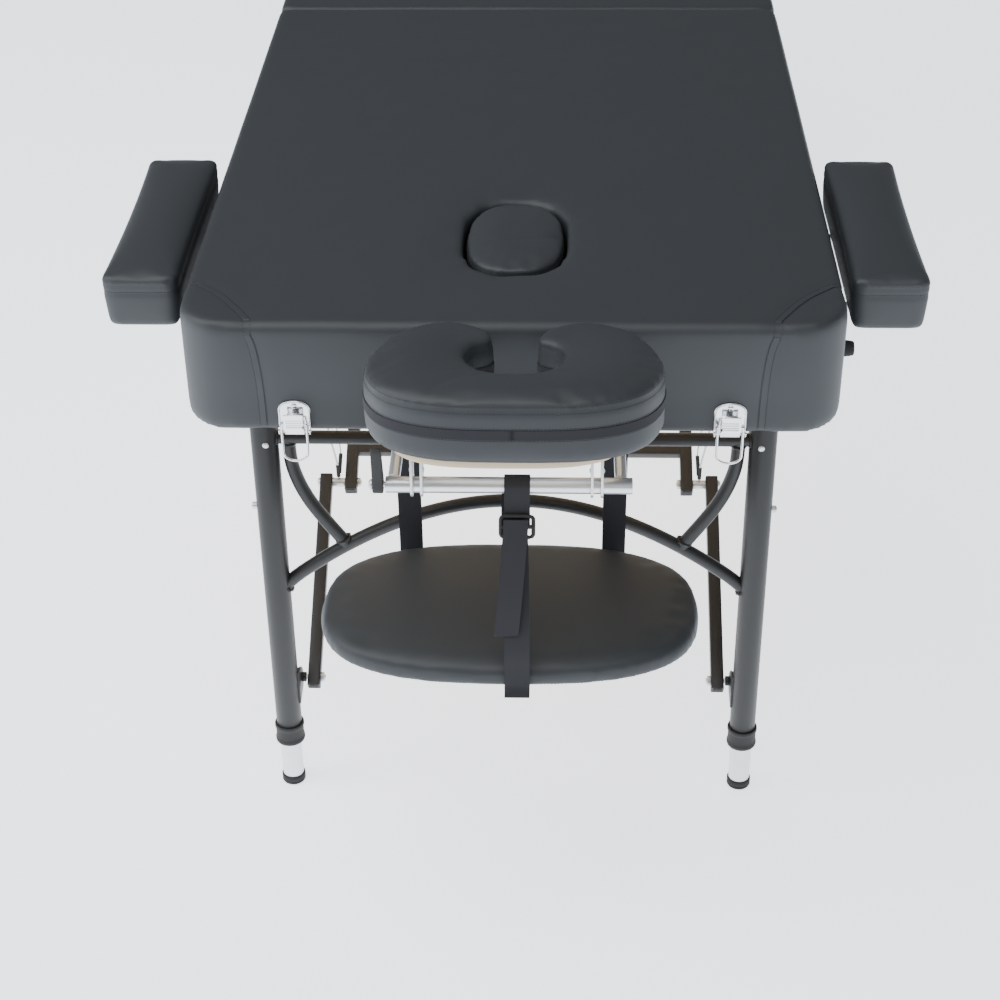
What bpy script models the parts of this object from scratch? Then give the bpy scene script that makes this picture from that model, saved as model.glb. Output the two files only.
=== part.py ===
"""Portable massage table, open and standing, as an assembly of separate pieces.

Units are metres, +Z is up and +X is to the right of someone who looks along the table from its
head end.  The head end faces -Y and the floor is at Z = 0.  The table is two halves that meet at a
hinge across the middle.  Each half is modelled in its own frame: Y runs from the end of the half
towards the middle, and the foot half's frame is the head half's turned half a turn about Z.
"""

import math

import bmesh
import bpy
from mathutils import Matrix, Vector

# ---- driving sizes -------------------------------------------------------------------------------
TABLE_WIDTH = 0.70
HALF_LENGTH = 0.93
TOP_HEIGHT = 0.650
UNDERSIDE = 0.520
GAP = 0.0003
CUT_PAST = 0.02           # how far a cutting shape runs past the wall that it cuts

PAD_SKIN = 0.010
PAD_CORNER_R = 0.050
PAD_FOLD_CORNER_R = 0.014
PAD_EDGE_R = 0.030
DECK_TOP = 0.590
DECK_THICK = 0.004
RAIL_THICK = 0.012
RAIL_CORNER_R = (0.008, 0.006)

LEG_LINE = 0.040          # the leg frame's plane, from the end of its half
LEG_PIVOT_Z = 0.5525
LEG_TOP = LEG_PIVOT_Z + 0.008
HEAD_LEG_X = 0.270
FOOT_LEG_X = 0.306        # the foot legs stand wider, so that both sets nest when folded
LEG_R = 0.015
LEG_BORE_R = 0.0135
LEG_BOTTOM = 0.0755
LEG_BORE_TOP = 0.475
INNER_R = 0.0125
INNER_BORE_R = 0.011
INNER_TOP = 0.450
CAP_R = 0.0140
CAP_H = 0.012
COLLAR_R = 0.0175
COLLAR_LOW = 0.0640
COLLAR_HIGH = 0.0905
BAR_R = 0.0075
CROSSBAR_Z = 0.4895
ARCH_FOOT_Z = 0.281
ARCH_TOP_Z = 0.409
CORNER_BRACE_X = 0.1865
AXLE_R = 0.006
AXLE_HALF = 0.3340

BUTTON_R = 0.004
BUTTON_Z = 0.400
BUTTON_HEAD = 0.0055

BRACE_BAR = 0.015         # the square tube of the folding brace
STRUT_INSET = 0.031       # from the leg's axis in to the strut's
ARM_INSET = 0.062         # from the leg's axis in to the arm's
BRACE_LOW = (0.062, 0.140)    # the strut's pivot on the leg, as (y, z) in the half's frame
BRACE_TOP = (0.770, 0.5745)   # the arm's pivot under the deck
STRUT_PAST_LOW = 0.012
STRUT_PAST_ELBOW = 0.009
TIE_ALONG = 0.046             # the arms' cross member, from the elbow
BOLT_R = 0.003
NUT_R = 0.0062
NUT_HIGH = 0.005
SUNK = 0.002                  # how far a nut or spacer runs into the bar that carries it
SPACER_R = 0.0055
ARM_START = 0.0125            # the arms begin this far above the elbow, which is an open pivot

HINGE_Z = 0.5165
HINGE_R = 0.003
HINGE_PIN_R = 0.0012
HINGE_LEAF = 0.0015
HINGE_REACH = 0.024
HINGE_HALF = 0.312
KNUCKLE_PAIRS = 4

HOLE_CENTRE = 0.207       # the breath hole's centre, from the head end
HOLE_SIZE = (0.120, 0.184)
PLUG_SIZE = (0.108, 0.168)
DECK_HOLE_SIZE = (0.090, 0.148)

SOCKET_X = 0.110
SOCKET_Z = 0.576
SOCKET_END = 0.105
SOCKET_HALF = 0.018
SOCKET_BLOCK_END = 0.1
ROD_R = 0.006
CRADLE_LINE = -0.185      # the cradle's tilt axis, from the head end
CRADLE_TILT = math.radians(-8)
CROSS_TUBE_R = 0.008
BRACKET_X = 0.0868
BRACKET_THICK = 0.0025
BRACKET_SPREAD = 0.0048
PLATFORM_LOW = 0.040
PLATFORM_THICK = 0.008
CUSHION_THICK = 0.066
LEVER_X = 0.1245
CROSS_TUBE_END = 0.121
# The cam lever's blade: half width, half depth, lean along y and height above the axis.
LEVER_BLADE = (
    (0.0055, 0.0060, 0.0, 0.001),
    (0.0055, 0.0050, -0.004, 0.024),
    (0.0045, 0.0035, -0.007, 0.045),
)

ARMREST_SPAN = (0.113, 0.426)
ARMREST_X = (0.362, 0.447)
ARMREST_Z = (0.583, 0.643)
ARMREST_ROD_Y = (0.185, 0.355)
ARMREST_ROD_Z = 0.5755
ARMREST_ROD_R = 0.005
ARMREST_ROD_TIP = 0.292

SHELF_CENTRE = -0.128
SHELF_SIZE = (0.394, 0.230)
SHELF_Z = (0.368, 0.398)
STRAP_WIDTH = 0.025
STRAP_THICK = 0.0018
FRONT_STRAP_X = 0.010

LATCH_X = 0.229
LATCH_PLATE = (0.034, 0.039)
LATCH_BOTTOM = 0.521
LEVER_PIVOT_Z = 0.5255
BAIL_PIVOT_Z = 0.5355
LATCH_LINE = -0.0062
LEVER_FRONT = -0.0124
LEVER_HALF = 0.0105
LEVER_HUB_R = 0.0038
LEVER_PIN_R = 0.0013
BAIL_LINE = -0.0097
BAIL_WIRE_R = 0.0013
BAIL_HALF = 0.0130
BAIL_BOTTOM = 0.4895
KEEPER_Z = 0.535

BUMPER_R = 0.010
BUMPER_TIP_R = 0.0078
BUMPER_LENGTH = 0.015
BUMPER_Y = (0.090, 0.840)
BUMPER_Z = 0.575

HANDLE_Y = 0.560
HANDLE_HALF = 0.075
HANDLE_TOP = 0.583
HANDLE_BOTTOM = 0.518
HANDLE_BAND = 0.022
HANDLE_THICK = 0.004

# The right half of the cradle cushion and of its platform, open towards the table.
CUSHION_KNOTS = [(0.0, -0.060), (0.072, -0.055), (0.121, -0.028), (0.1425, 0.024), (0.136, 0.080),
                 (0.112, 0.128), (0.072, 0.150), (0.036, 0.134), (0.0235, 0.104), (0.042, 0.088),
                 (0.0495, 0.058), (0.034, 0.022), (0.0, 0.010)]
PLATFORM_KNOTS = [(0.0, -0.050), (0.064, -0.045), (0.102, -0.021), (0.1172, 0.026), (0.1135, 0.080),
                  (0.099, 0.114), (0.079, 0.122), (0.063, 0.108), (0.064, 0.072), (0.056, 0.040),
                  (0.034, 0.020), (0.0, 0.014)]

# How far the arm shelf reaches past the head end, and the keepers past the foot end.
FRONT_REACH = SHELF_SIZE[1] / 2 - SHELF_CENTRE + 0.0035
BACK_REACH = 0.0048
HEAD_END = (FRONT_REACH - 2 * HALF_LENGTH - BACK_REACH) / 2

MATERIALS = {
    # name: colour, roughness, metallic
    "vinyl": ((0.028, 0.030, 0.034), 0.42, 0.0),
    "wood": ((0.72, 0.55, 0.36), 0.55, 0.0),
    "plywood": ((0.76, 0.61, 0.42), 0.55, 0.0),
    "black_steel": ((0.022, 0.022, 0.024), 0.38, 0.6),
    "aluminium": ((0.78, 0.79, 0.80), 0.30, 1.0),
    "zinc": ((0.70, 0.71, 0.72), 0.30, 1.0),
    "chrome": ((0.86, 0.87, 0.88), 0.12, 1.0),
    "black_plastic": ((0.020, 0.020, 0.021), 0.45, 0.0),
    "rubber": ((0.018, 0.018, 0.018), 0.75, 0.0),
    "webbing": ((0.020, 0.020, 0.022), 0.80, 0.0),
    "cable": ((0.55, 0.56, 0.57), 0.35, 1.0),
}


# ---- scene and helpers ---------------------------------------------------------------------------
def clear_scene():
    for obj in list(bpy.data.objects):
        bpy.data.objects.remove(obj, do_unlink=True)


def material(name):
    mat = bpy.data.materials.get(name)
    if mat:
        return mat
    colour, rough, metal = MATERIALS[name]
    mat = bpy.data.materials.new(name)
    mat.use_nodes = True
    shader = mat.node_tree.nodes["Principled BSDF"]
    shader.inputs["Base Color"].default_value = (*colour, 1)
    shader.inputs["Roughness"].default_value = rough
    shader.inputs["Metallic"].default_value = metal
    mat.diffuse_color = (*colour, 1)
    return mat


def empty(name, location, parent=None, turn=None):
    obj = bpy.data.objects.new(name, None)
    obj.location = location
    if turn:
        obj.rotation_euler = turn
    obj.parent = parent
    bpy.context.collection.objects.link(obj)
    return obj


def place(name, bm, mat, parent, pivot=(0, 0, 0)):
    """An object from a bmesh drawn in its parent's frame, with its origin at the pivot."""
    bmesh.ops.remove_doubles(bm, verts=bm.verts, dist=1e-6)
    bmesh.ops.recalc_face_normals(bm, faces=bm.faces)
    bmesh.ops.translate(bm, vec=-Vector(pivot), verts=bm.verts)
    mesh = bpy.data.meshes.new(name)
    bm.to_mesh(mesh)
    bm.free()
    mesh.shade_smooth()
    mesh.set_sharp_from_angle(angle=math.radians(35))
    mesh.materials.append(material(mat))
    obj = bpy.data.objects.new(name, mesh)
    obj.location = pivot
    obj.parent = parent
    bpy.context.collection.objects.link(obj)
    return obj


def combine(target, operation, *tools):
    """Boolean modifiers on the target, one for each helper shape, which stays hidden."""
    for number, bm in enumerate(tools):
        name = f"{target.name}_{operation.lower()}_{len(target.modifiers)}"
        tool = place(name, bm, "zinc", target.parent)
        tool.hide_render = True
        tool.display_type = "WIRE"
        mod = target.modifiers.new(f"{operation.lower()} {number + 1}", "BOOLEAN")
        mod.operation = operation
        mod.solver = "EXACT"
        mod.object = tool


def box(low, high):
    bm = bmesh.new()
    size = [h - l for l, h in zip(low, high)]
    middle = [(h + l) / 2 for l, h in zip(low, high)]
    made = bmesh.ops.create_cube(bm, size=1)
    bmesh.ops.scale(bm, vec=size, verts=made["verts"])
    bmesh.ops.translate(bm, vec=middle, verts=made["verts"])
    return bm


def prism(outline, x_low, x_high):
    """A solid from an outline in the (y, z) plane, drawn out along x."""
    bm = bmesh.new()
    near = [bm.verts.new((x_low, y, z)) for y, z in outline]
    far = [bm.verts.new((x_high, y, z)) for y, z in outline]
    bm.faces.new(near)
    bm.faces.new(list(reversed(far)))
    count = len(outline)
    for i in range(count):
        j = (i + 1) % count
        bm.faces.new((near[i], far[i], far[j], near[j]))
    return bm


def cylinder(start, end, radius, sides=16, end_radius=None):
    """A round bar from start to end, tapered when end_radius is given."""
    bm = bmesh.new()
    start, end = Vector(start), Vector(end)
    along = end - start
    turn = along.to_track_quat("Z", "Y").to_matrix().to_4x4()
    at = Matrix.Translation((start + end) / 2) @ turn
    bmesh.ops.create_cone(
        bm,
        cap_ends=True,
        segments=sides,
        radius1=radius,
        radius2=radius if end_radius is None else end_radius,
        depth=along.length,
        matrix=at,
    )
    return bm


def x_bar(x_start, x_end, y, z, radius, sides=12):
    """A round bar along x."""
    return cylinder((x_start, y, z), (x_end, y, z), radius, sides)


def y_bar(x, y_start, y_end, z, radius, sides=12):
    """A round bar along y."""
    return cylinder((x, y_start, z), (x, y_end, z), radius, sides)


def z_bar(x, y, z_start, z_end, radius, sides=16):
    """A round bar along z."""
    return cylinder((x, y, z_start), (x, y, z_end), radius, sides)


def ring_of(outline, z, inset=0.0):
    """The points of a closed outline at one height, moved in by the inset."""
    count = len(outline)
    area = sum(
        outline[i][0] * outline[(i + 1) % count][1] - outline[(i + 1) % count][0] * outline[i][1]
        for i in range(count)
    )
    side = 1 if area > 0 else -1
    points = []
    for i, (x, y) in enumerate(outline):
        before, after = Vector(outline[i - 1]), Vector(outline[(i + 1) % count])
        along = (after - before).normalized()
        points.append(Vector((x - side * along.y * inset, y + side * along.x * inset, z)))
    return points


def stack(rings):
    """A closed solid through rings of equal point counts, from the lowest to the highest."""
    bm = bmesh.new()
    loops = [[bm.verts.new(p) for p in ring] for ring in rings]
    count = len(loops[0])
    for low, high in zip(loops, loops[1:]):
        for i in range(count):
            j = (i + 1) % count
            bm.faces.new((low[i], low[j], high[j], high[i]))
    bm.faces.new(list(reversed(loops[0])))
    bm.faces.new(loops[-1])
    return bm


def block(outline, z_low, z_high):
    """A solid with upright walls from an outline."""
    return stack([ring_of(outline, z_low), ring_of(outline, z_high)])


def rounded_rectangle(x_low, x_high, y_low, y_high, radii, steps=5):
    """A rectangle's outline; radii are those of its corners at low y and at high y."""
    corners = (
        (x_high - radii[0], y_low + radii[0], radii[0], -90),
        (x_high - radii[1], y_high - radii[1], radii[1], 0),
        (x_low + radii[1], y_high - radii[1], radii[1], 90),
        (x_low + radii[0], y_low + radii[0], radii[0], 180),
    )
    points = []
    for x, y, radius, start in corners:
        for i in range(steps + 1):
            angle = math.radians(start + 90 * i / steps)
            points.append((x + radius * math.cos(angle), y + radius * math.sin(angle)))
    return points


def superellipse(width, length, centre, power, count):
    points = []
    for i in range(count):
        angle = 2 * math.pi * i / count
        c, s = math.cos(angle), math.sin(angle)
        x = math.copysign(abs(c) ** (2 / power), c) * width / 2
        y = math.copysign(abs(s) ** (2 / power), s) * length / 2
        points.append((centre[0] + x, centre[1] + y))
    return points


def through(points, steps, closed=False):
    """Points on a smooth curve through the given ones."""
    points = [Vector(p) for p in points]
    count = len(points)
    spans = count if closed else count - 1
    result = []
    for i in range(spans):
        p1, p2 = points[i], points[(i + 1) % count]
        p0 = points[i - 1] if closed or i else p1
        p3 = points[(i + 2) % count] if closed or i + 2 < count else p2
        for k in range(steps):
            t = k / steps
            result.append(
                0.5 * (2 * p1 + (p2 - p0) * t + (2 * p0 - 5 * p1 + 4 * p2 - p3) * t**2
                       + (3 * p1 - p0 - 3 * p2 + p3) * t**3)
            )
    if not closed:
        result.append(points[-1])
    return result


def sweep(path, radius, sides=10, closed=False):
    """A round tube along a path, with filled ends unless it is closed."""
    bm = bmesh.new()
    path = [Vector(p) for p in path]
    count = len(path)
    normal = None
    rings = []
    for i, point in enumerate(path):
        before = path[i - 1] if closed or i else point
        after = path[(i + 1) % count] if closed or i + 1 < count else point
        along = (after - before).normalized()
        if normal is None:
            normal = along.orthogonal().normalized()
        normal = (normal - along * normal.dot(along)).normalized()
        other = along.cross(normal)
        rings.append([
            bm.verts.new(point + radius * (math.cos(a) * normal + math.sin(a) * other))
            for a in (2 * math.pi * k / sides for k in range(sides))
        ])
    pairs = list(zip(rings, rings[1:]))
    if closed:
        pairs.append((rings[-1], rings[0]))
    for low, high in pairs:
        for k in range(sides):
            j = (k + 1) % sides
            bm.faces.new((low[k], low[j], high[j], high[k]))
    if not closed:
        bm.faces.new(list(reversed(rings[0])))
        bm.faces.new(rings[-1])
    return bm


def turned(profile, centre, sides=16):
    """A ring about a vertical axis from a closed profile of (radius, z) points."""
    bm = bmesh.new()
    loops = []
    for k in range(sides):
        a = 2 * math.pi * k / sides
        c, s = math.cos(a), math.sin(a)
        loops.append([bm.verts.new((centre[0] + r * c, centre[1] + r * s, z)) for r, z in profile])
    count = len(profile)
    for k in range(sides):
        here, there = loops[k], loops[(k + 1) % sides]
        for i in range(count):
            j = (i + 1) % count
            bm.faces.new((here[i], here[j], there[j], there[i]))
    return bm


def band(path, x, width, thick):
    """A flat strap: a path in the (y, z) plane, thickened and drawn out along x."""
    path = [Vector(p) for p in path]
    sides = ([], [])
    for i, point in enumerate(path):
        before = path[max(i - 1, 0)]
        after = path[min(i + 1, len(path) - 1)]
        along = (after - before).normalized()
        across = Vector((-along.y, along.x)) * thick / 2
        sides[0].append(point + across)
        sides[1].append(point - across)
    return prism(sides[0] + list(reversed(sides[1])), x - width / 2, x + width / 2)


# ---- the padded top ------------------------------------------------------------------------------
def half_outline(inset, corner, fold_corner):
    x = TABLE_WIDTH / 2 - inset
    return rounded_rectangle(-x, x, inset, HALF_LENGTH - inset, (corner, fold_corner), 6)


def make_pad(name, half, with_hole):
    """Foam and vinyl in one solid: a top block with a skirt that covers the wooden frame."""
    outline = half_outline(GAP / 2, PAD_CORNER_R, PAD_FOLD_CORNER_R)
    levels = [(0, UNDERSIDE), (0, TOP_HEIGHT - PAD_EDGE_R)]
    for step in range(1, 4):
        angle = math.radians(30 * step)
        level = TOP_HEIGHT - PAD_EDGE_R * (1 - math.sin(angle))
        levels.append((PAD_EDGE_R * (1 - math.cos(angle)) * 0.45, level))
    pad = place(name, stack([ring_of(outline, z, inset) for inset, z in levels]), "vinyl", half)
    pocket = half_outline(PAD_SKIN, PAD_CORNER_R - PAD_SKIN, PAD_FOLD_CORNER_R - PAD_SKIN)
    combine(pad, "DIFFERENCE", block(pocket, UNDERSIDE - CUT_PAST, DECK_TOP + GAP))
    if with_hole:
        hole = superellipse(*HOLE_SIZE, (0, HOLE_CENTRE), 2.6, 28)
        combine(pad, "DIFFERENCE", block(hole, DECK_TOP - CUT_PAST, TOP_HEIGHT + CUT_PAST))
        for x in (-SOCKET_X, SOCKET_X):
            combine(pad, "DIFFERENCE", y_bar(x, -CUT_PAST, PAD_SKIN + 0.002, SOCKET_Z, ROD_R + GAP))
        for side in (-1, 1):
            for y in ARMREST_ROD_Y:
                hole = x_bar(side * 0.335, side * 0.365, y, ARMREST_ROD_Z, ARMREST_ROD_R + GAP)
                combine(pad, "DIFFERENCE", hole)
    return pad


def make_frame(name, half, with_hole):
    """Solid rails round the edge with a plywood deck glued on top of them."""
    skin = PAD_SKIN + GAP
    outline = half_outline(skin, PAD_CORNER_R - skin, PAD_FOLD_CORNER_R - skin)
    frame = place(name, stack([ring_of(outline, z) for z in (UNDERSIDE + GAP, DECK_TOP)]), "wood", half)
    wall = skin + RAIL_THICK
    pocket = half_outline(wall, *RAIL_CORNER_R)
    combine(frame, "DIFFERENCE", block(pocket, UNDERSIDE - CUT_PAST, DECK_TOP - DECK_THICK))
    if with_hole:
        for x in (-SOCKET_X, SOCKET_X):
            socket = box((x - SOCKET_HALF, wall - 0.004, SOCKET_Z - 0.0105),
                         (x + SOCKET_HALF, SOCKET_BLOCK_END, DECK_TOP - 0.003))
            combine(frame, "UNION", socket)
            combine(frame, "DIFFERENCE", y_bar(x, -CUT_PAST, 0.13, SOCKET_Z, ROD_R + GAP))
        for side in (-1, 1):
            for y in ARMREST_ROD_Y:
                hole = x_bar(side * 0.315, side * 0.355, y, ARMREST_ROD_Z, ARMREST_ROD_R + GAP)
                combine(frame, "DIFFERENCE", hole)
        hole = superellipse(*DECK_HOLE_SIZE, (0, HOLE_CENTRE), 2.6, 24)
        combine(frame, "DIFFERENCE", block(hole, DECK_TOP - CUT_PAST, DECK_TOP + CUT_PAST))
    reach = AXLE_HALF + GAP
    for y, z in ((LEG_LINE, LEG_PIVOT_Z), BRACE_TOP):
        combine(frame, "DIFFERENCE", x_bar(-reach, reach, y, z, AXLE_R + GAP, 14))
    return frame


def make_plug(half):
    """The cushion that closes the breath hole; it rests on the deck round the deck's smaller hole."""
    outline = superellipse(*PLUG_SIZE, (0, HOLE_CENTRE), 2.6, 28)
    low = DECK_TOP + 2 * GAP
    levels = ((0.001, low), (0, low + 0.004), (0, TOP_HEIGHT - 0.010), (0.003, TOP_HEIGHT - 0.002),
              (0.012, TOP_HEIGHT + 0.003))
    rings = [ring_of(outline, z, inset) for inset, z in levels]
    place("breath_plug", stack(rings), "vinyl", half, (0, HOLE_CENTRE, low))


def make_bumpers(prefix, half, side):
    """Rubber feet on the side that the folded table stands on."""
    for number, y in enumerate(BUMPER_Y):
        x = TABLE_WIDTH / 2 + GAP
        bm = cylinder((side * x, y, BUMPER_Z), (side * (x + BUMPER_LENGTH), y, BUMPER_Z), BUMPER_R, 14,
                      BUMPER_TIP_R)
        place(f"{prefix}_bumper_{number + 1}", bm, "rubber", half, (side * x, y, BUMPER_Z))


def make_handle(name, half, side):
    """A webbing carry handle that hangs from its top edge against the table's side."""
    near = TABLE_WIDTH / 2 + 0.0012
    x_low, x_high = sorted((side * near, side * (near + HANDLE_THICK)))
    outline = []
    for inset, corner in ((0.0, 0.020), (HANDLE_BAND, 0.006)):
        y_low, y_high = HANDLE_Y - HANDLE_HALF + inset, HANDLE_Y + HANDLE_HALF - inset
        z_low = HANDLE_BOTTOM + inset
        edge = [(y_low, HANDLE_TOP), (y_low, z_low + corner), (y_low + corner, z_low),
                (y_high - corner, z_low), (y_high, z_low + corner), (y_high, HANDLE_TOP)]
        outline += reversed(edge) if inset else edge
    pivot = ((x_low + x_high) / 2, HANDLE_Y, HANDLE_TOP)
    place(name, prism(outline, x_low, x_high), "webbing", half, pivot)


# ---- legs ----------------------------------------------------------------------------------------
def arch_points(leg_x):
    """The shallow arch that ties the two legs."""
    points = []
    for i in range(13):
        t = -1 + 2 * i / 12
        rise = math.cos(t * math.pi / 2) ** 0.85
        points.append((leg_x * t, LEG_LINE, ARCH_FOOT_Z + (ARCH_TOP_Z - ARCH_FOOT_Z) * rise))
    return points


def arch_height(x, leg_x):
    return ARCH_FOOT_Z + (ARCH_TOP_Z - ARCH_FOOT_Z) * math.cos(x / leg_x * math.pi / 2) ** 0.85


def corner_brace_points(side, leg_x):
    """A bent tube from the crossbar, near the leg, in and down to the arch."""
    end_x = CORNER_BRACE_X + (leg_x - HEAD_LEG_X)
    end_z = arch_height(end_x, leg_x)
    start_x = leg_x - 0.026
    knots = [(side * start_x, CROSSBAR_Z), (side * (start_x - 0.003), CROSSBAR_Z - 0.040),
             (side * (start_x - 0.020), CROSSBAR_Z - 0.085), (side * end_x, end_z)]
    return [(x, LEG_LINE, z) for x, z in through(knots, 3)]


def make_leg_frame(name, half, leg_x):
    """Two outer legs with the crossbar, arch and corner braces between them and the axle on top."""
    parts = [z_bar(leg_x, LEG_LINE, LEG_BOTTOM, LEG_TOP, LEG_R),
             x_bar(-leg_x, leg_x, LEG_LINE, CROSSBAR_Z, BAR_R, 10),
             sweep(arch_points(leg_x), BAR_R, 10),
             x_bar(-AXLE_HALF, AXLE_HALF, LEG_LINE, LEG_PIVOT_Z, AXLE_R)]
    for side in (-1, 1):
        parts.append(sweep(corner_brace_points(side, leg_x), BAR_R, 10))
        x_low, x_high = sorted((side * (leg_x - 0.0215), side * (leg_x - 0.011)))
        y, z = BRACE_LOW
        parts.append(box((x_low, LEG_LINE - 0.006, z - 0.022), (x_high, y + 0.010, z + 0.022)))
    frame = place(name, z_bar(-leg_x, LEG_LINE, LEG_BOTTOM, LEG_TOP, LEG_R), "black_steel", half,
                  (0, LEG_LINE, LEG_PIVOT_Z))
    combine(frame, "UNION", *parts)
    for side in (-1, 1):
        x = side * leg_x
        bore = z_bar(x, LEG_LINE, LEG_BOTTOM - CUT_PAST, LEG_BORE_TOP, LEG_BORE_R)
        window = x_bar(x, x + side * CUT_PAST, LEG_LINE, BUTTON_Z, BUTTON_R + GAP, 10)
        bolt_hole = x_bar(x - side * 0.03, x - side * 0.0135, *BRACE_LOW, BOLT_R + 0.0004, 8)
        combine(frame, "DIFFERENCE", bore, window, bolt_hole)
    return frame


def make_telescopic_leg(prefix, half, x):
    """The sliding inner leg with its foot cap, the collar it slides through and its button."""
    side = 1 if x > 0 else -1
    tube = [(INNER_R, CAP_H * 0.25 + GAP), (INNER_R, INNER_TOP), (INNER_BORE_R, INNER_TOP),
            (INNER_BORE_R, CAP_H * 0.25 + GAP)]
    inner = place(f"{prefix}_inner_leg", turned(tube, (x, LEG_LINE)), "aluminium", half, (x, LEG_LINE, 0))
    window = x_bar(x + side * 0.004, x + side * CUT_PAST, LEG_LINE, BUTTON_Z, BUTTON_R + GAP, 10)
    combine(inner, "DIFFERENCE", window)
    floor = CAP_H * 0.25
    bm = bmesh.new()
    rings = []
    for radius, z in ((CAP_R - 0.001, 0), (CAP_R, 0.0015), (CAP_R, CAP_H), (INNER_R + GAP, CAP_H),
                      (INNER_R + GAP, floor)):
        rings.append([bm.verts.new((x + radius * math.cos(a), LEG_LINE + radius * math.sin(a), z))
                      for a in (2 * math.pi * k / 16 for k in range(16))])
    for low, high in zip(rings, rings[1:]):
        for k in range(16):
            j = (k + 1) % 16
            bm.faces.new((low[k], low[j], high[j], high[k]))
    bm.faces.new(list(reversed(rings[0])))
    bm.faces.new(rings[-1])
    place(f"{prefix}_foot_cap", bm, "rubber", half, (x, LEG_LINE, 0))
    step = LEG_BOTTOM - GAP
    ring = [(INNER_R + GAP, COLLAR_LOW), (COLLAR_R - 0.0015, COLLAR_LOW), (COLLAR_R, COLLAR_LOW + 0.004),
            (COLLAR_R, COLLAR_HIGH - 0.002), (COLLAR_R - 0.001, COLLAR_HIGH), (LEG_R + GAP, COLLAR_HIGH),
            (LEG_R + GAP, step), (INNER_R + GAP, step)]
    place(f"{prefix}_collar", turned(ring, (x, LEG_LINE)), "black_plastic", half, (x, LEG_LINE, COLLAR_LOW))
    inside = x + side * (LEG_BORE_R + GAP)
    outside = x + side * (LEG_R + BUTTON_HEAD)
    place(f"{prefix}_button", x_bar(inside, outside, LEG_LINE, BUTTON_Z, BUTTON_R), "zinc", half,
          (inside, LEG_LINE, BUTTON_Z))


# ---- folding braces ------------------------------------------------------------------------------
def brace_elbow():
    """The elbow's (y, z): straight when open, and folded back on itself when the leg lies flat."""
    low, top = Vector(BRACE_LOW), Vector(BRACE_TOP)
    open_length = (top - low).length
    folded_low_y = LEG_LINE + (LEG_PIVOT_Z - BRACE_LOW[1])
    folded_length = BRACE_TOP[0] - folded_low_y
    strut_length = (open_length - folded_length) / 2
    return low + (top - low).normalized() * strut_length


def square_bar(x, start, end, extra_start, extra_end):
    """A square bar in the (y, z) plane that runs a little past both pivots."""
    start, end = Vector(start), Vector(end)
    along = (end - start).normalized()
    across = Vector((-along.y, along.x)) * BRACE_BAR / 2
    a, b = start - along * extra_start, end + along * extra_end
    return prism([a - across, b - across, b + across, a + across], x - BRACE_BAR / 2, x + BRACE_BAR / 2)


def make_strut(name, half, leg_x, side):
    """The lower bar of the folding brace, with the bolt that carries it on the leg's bracket."""
    x = side * (leg_x - STRUT_INSET)
    elbow = brace_elbow()
    y, z = BRACE_LOW
    bar = square_bar(x, BRACE_LOW, elbow, STRUT_PAST_LOW, STRUT_PAST_ELBOW)
    strut = place(name, bar, "black_steel", half, (x, y, z))
    inner_face, outer_face = x - side * BRACE_BAR / 2, x + side * BRACE_BAR / 2
    arm_face = side * (leg_x - ARM_INSET + BRACE_BAR / 2 + GAP)
    nut_face = inner_face - side * NUT_HIGH
    combine(strut, "UNION",
            x_bar(nut_face, outer_face + side * 0.008, y, z, BOLT_R, 10),
            x_bar(nut_face, inner_face + side * SUNK, y, z, NUT_R, 6),
            x_bar(outer_face - side * SUNK, outer_face + side * 0.004, *elbow, NUT_R, 10),
            x_bar(arm_face, inner_face + side * SUNK, *elbow, SPACER_R))


def make_arms(name, half, leg_x):
    """The two upper bars, tied by a cross member, on the axle under the deck."""
    elbow, top = brace_elbow(), Vector(BRACE_TOP)
    x = leg_x - ARM_INSET
    along = (top - elbow).normalized()
    tie = elbow + along * TIE_ALONG
    across = Vector((-along.y, along.x)) * BRACE_BAR * 0.46
    run = along * BRACE_BAR * 0.46
    corners = [tie - across - run, tie - across + run, tie + across + run, tie + across - run]
    arms = place(name, square_bar(x, elbow, top, -ARM_START, 0.0), "black_steel", half, (0, *top))
    combine(arms, "UNION", square_bar(-x, elbow, top, -ARM_START, 0.0), prism(corners, -x, x),
            x_bar(-AXLE_HALF, AXLE_HALF, *top, AXLE_R))


def make_cable(name, half, leg_x, side):
    """The stay from the elbow up to the side rail."""
    elbow = brace_elbow()
    x = side * (leg_x - (STRUT_INSET + ARM_INSET) / 2)
    end_x = side * (TABLE_WIDTH / 2 - PAD_SKIN - RAIL_THICK - 0.004)
    y, z = elbow
    route = [(x, y, z + SPACER_R + 0.0007), (x, y, z + 0.022), (x + side * 0.006, y, 0.330),
             (x + side * 0.026, y + 0.001, 0.420), (end_x - side * 0.006, y + 0.002, 0.500),
             (end_x, y + 0.002, 0.545)]
    points = through(route, 4)
    data = bpy.data.curves.new(name, "CURVE")
    data.dimensions = "3D"
    spline = data.splines.new("POLY")
    spline.points.add(len(points) - 1)
    for target, p in zip(spline.points, points):
        target.co = (*p, 1)
    data.bevel_depth = 0.00125
    data.bevel_resolution = 2
    data.use_fill_caps = True
    data.materials.append(material("cable"))
    obj = bpy.data.objects.new(name, data)
    obj.parent = half
    bpy.context.collection.objects.link(obj)


# ---- hinge and latches ---------------------------------------------------------------------------
def knuckle_span(index):
    """The x range of one knuckle; even ones are the head leaf's and odd ones the foot leaf's."""
    length = 2 * HINGE_HALF / (2 * KNUCKLE_PAIRS)
    start = -HINGE_HALF + index * length
    return start + 0.0004, start + length - 0.0004


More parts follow.
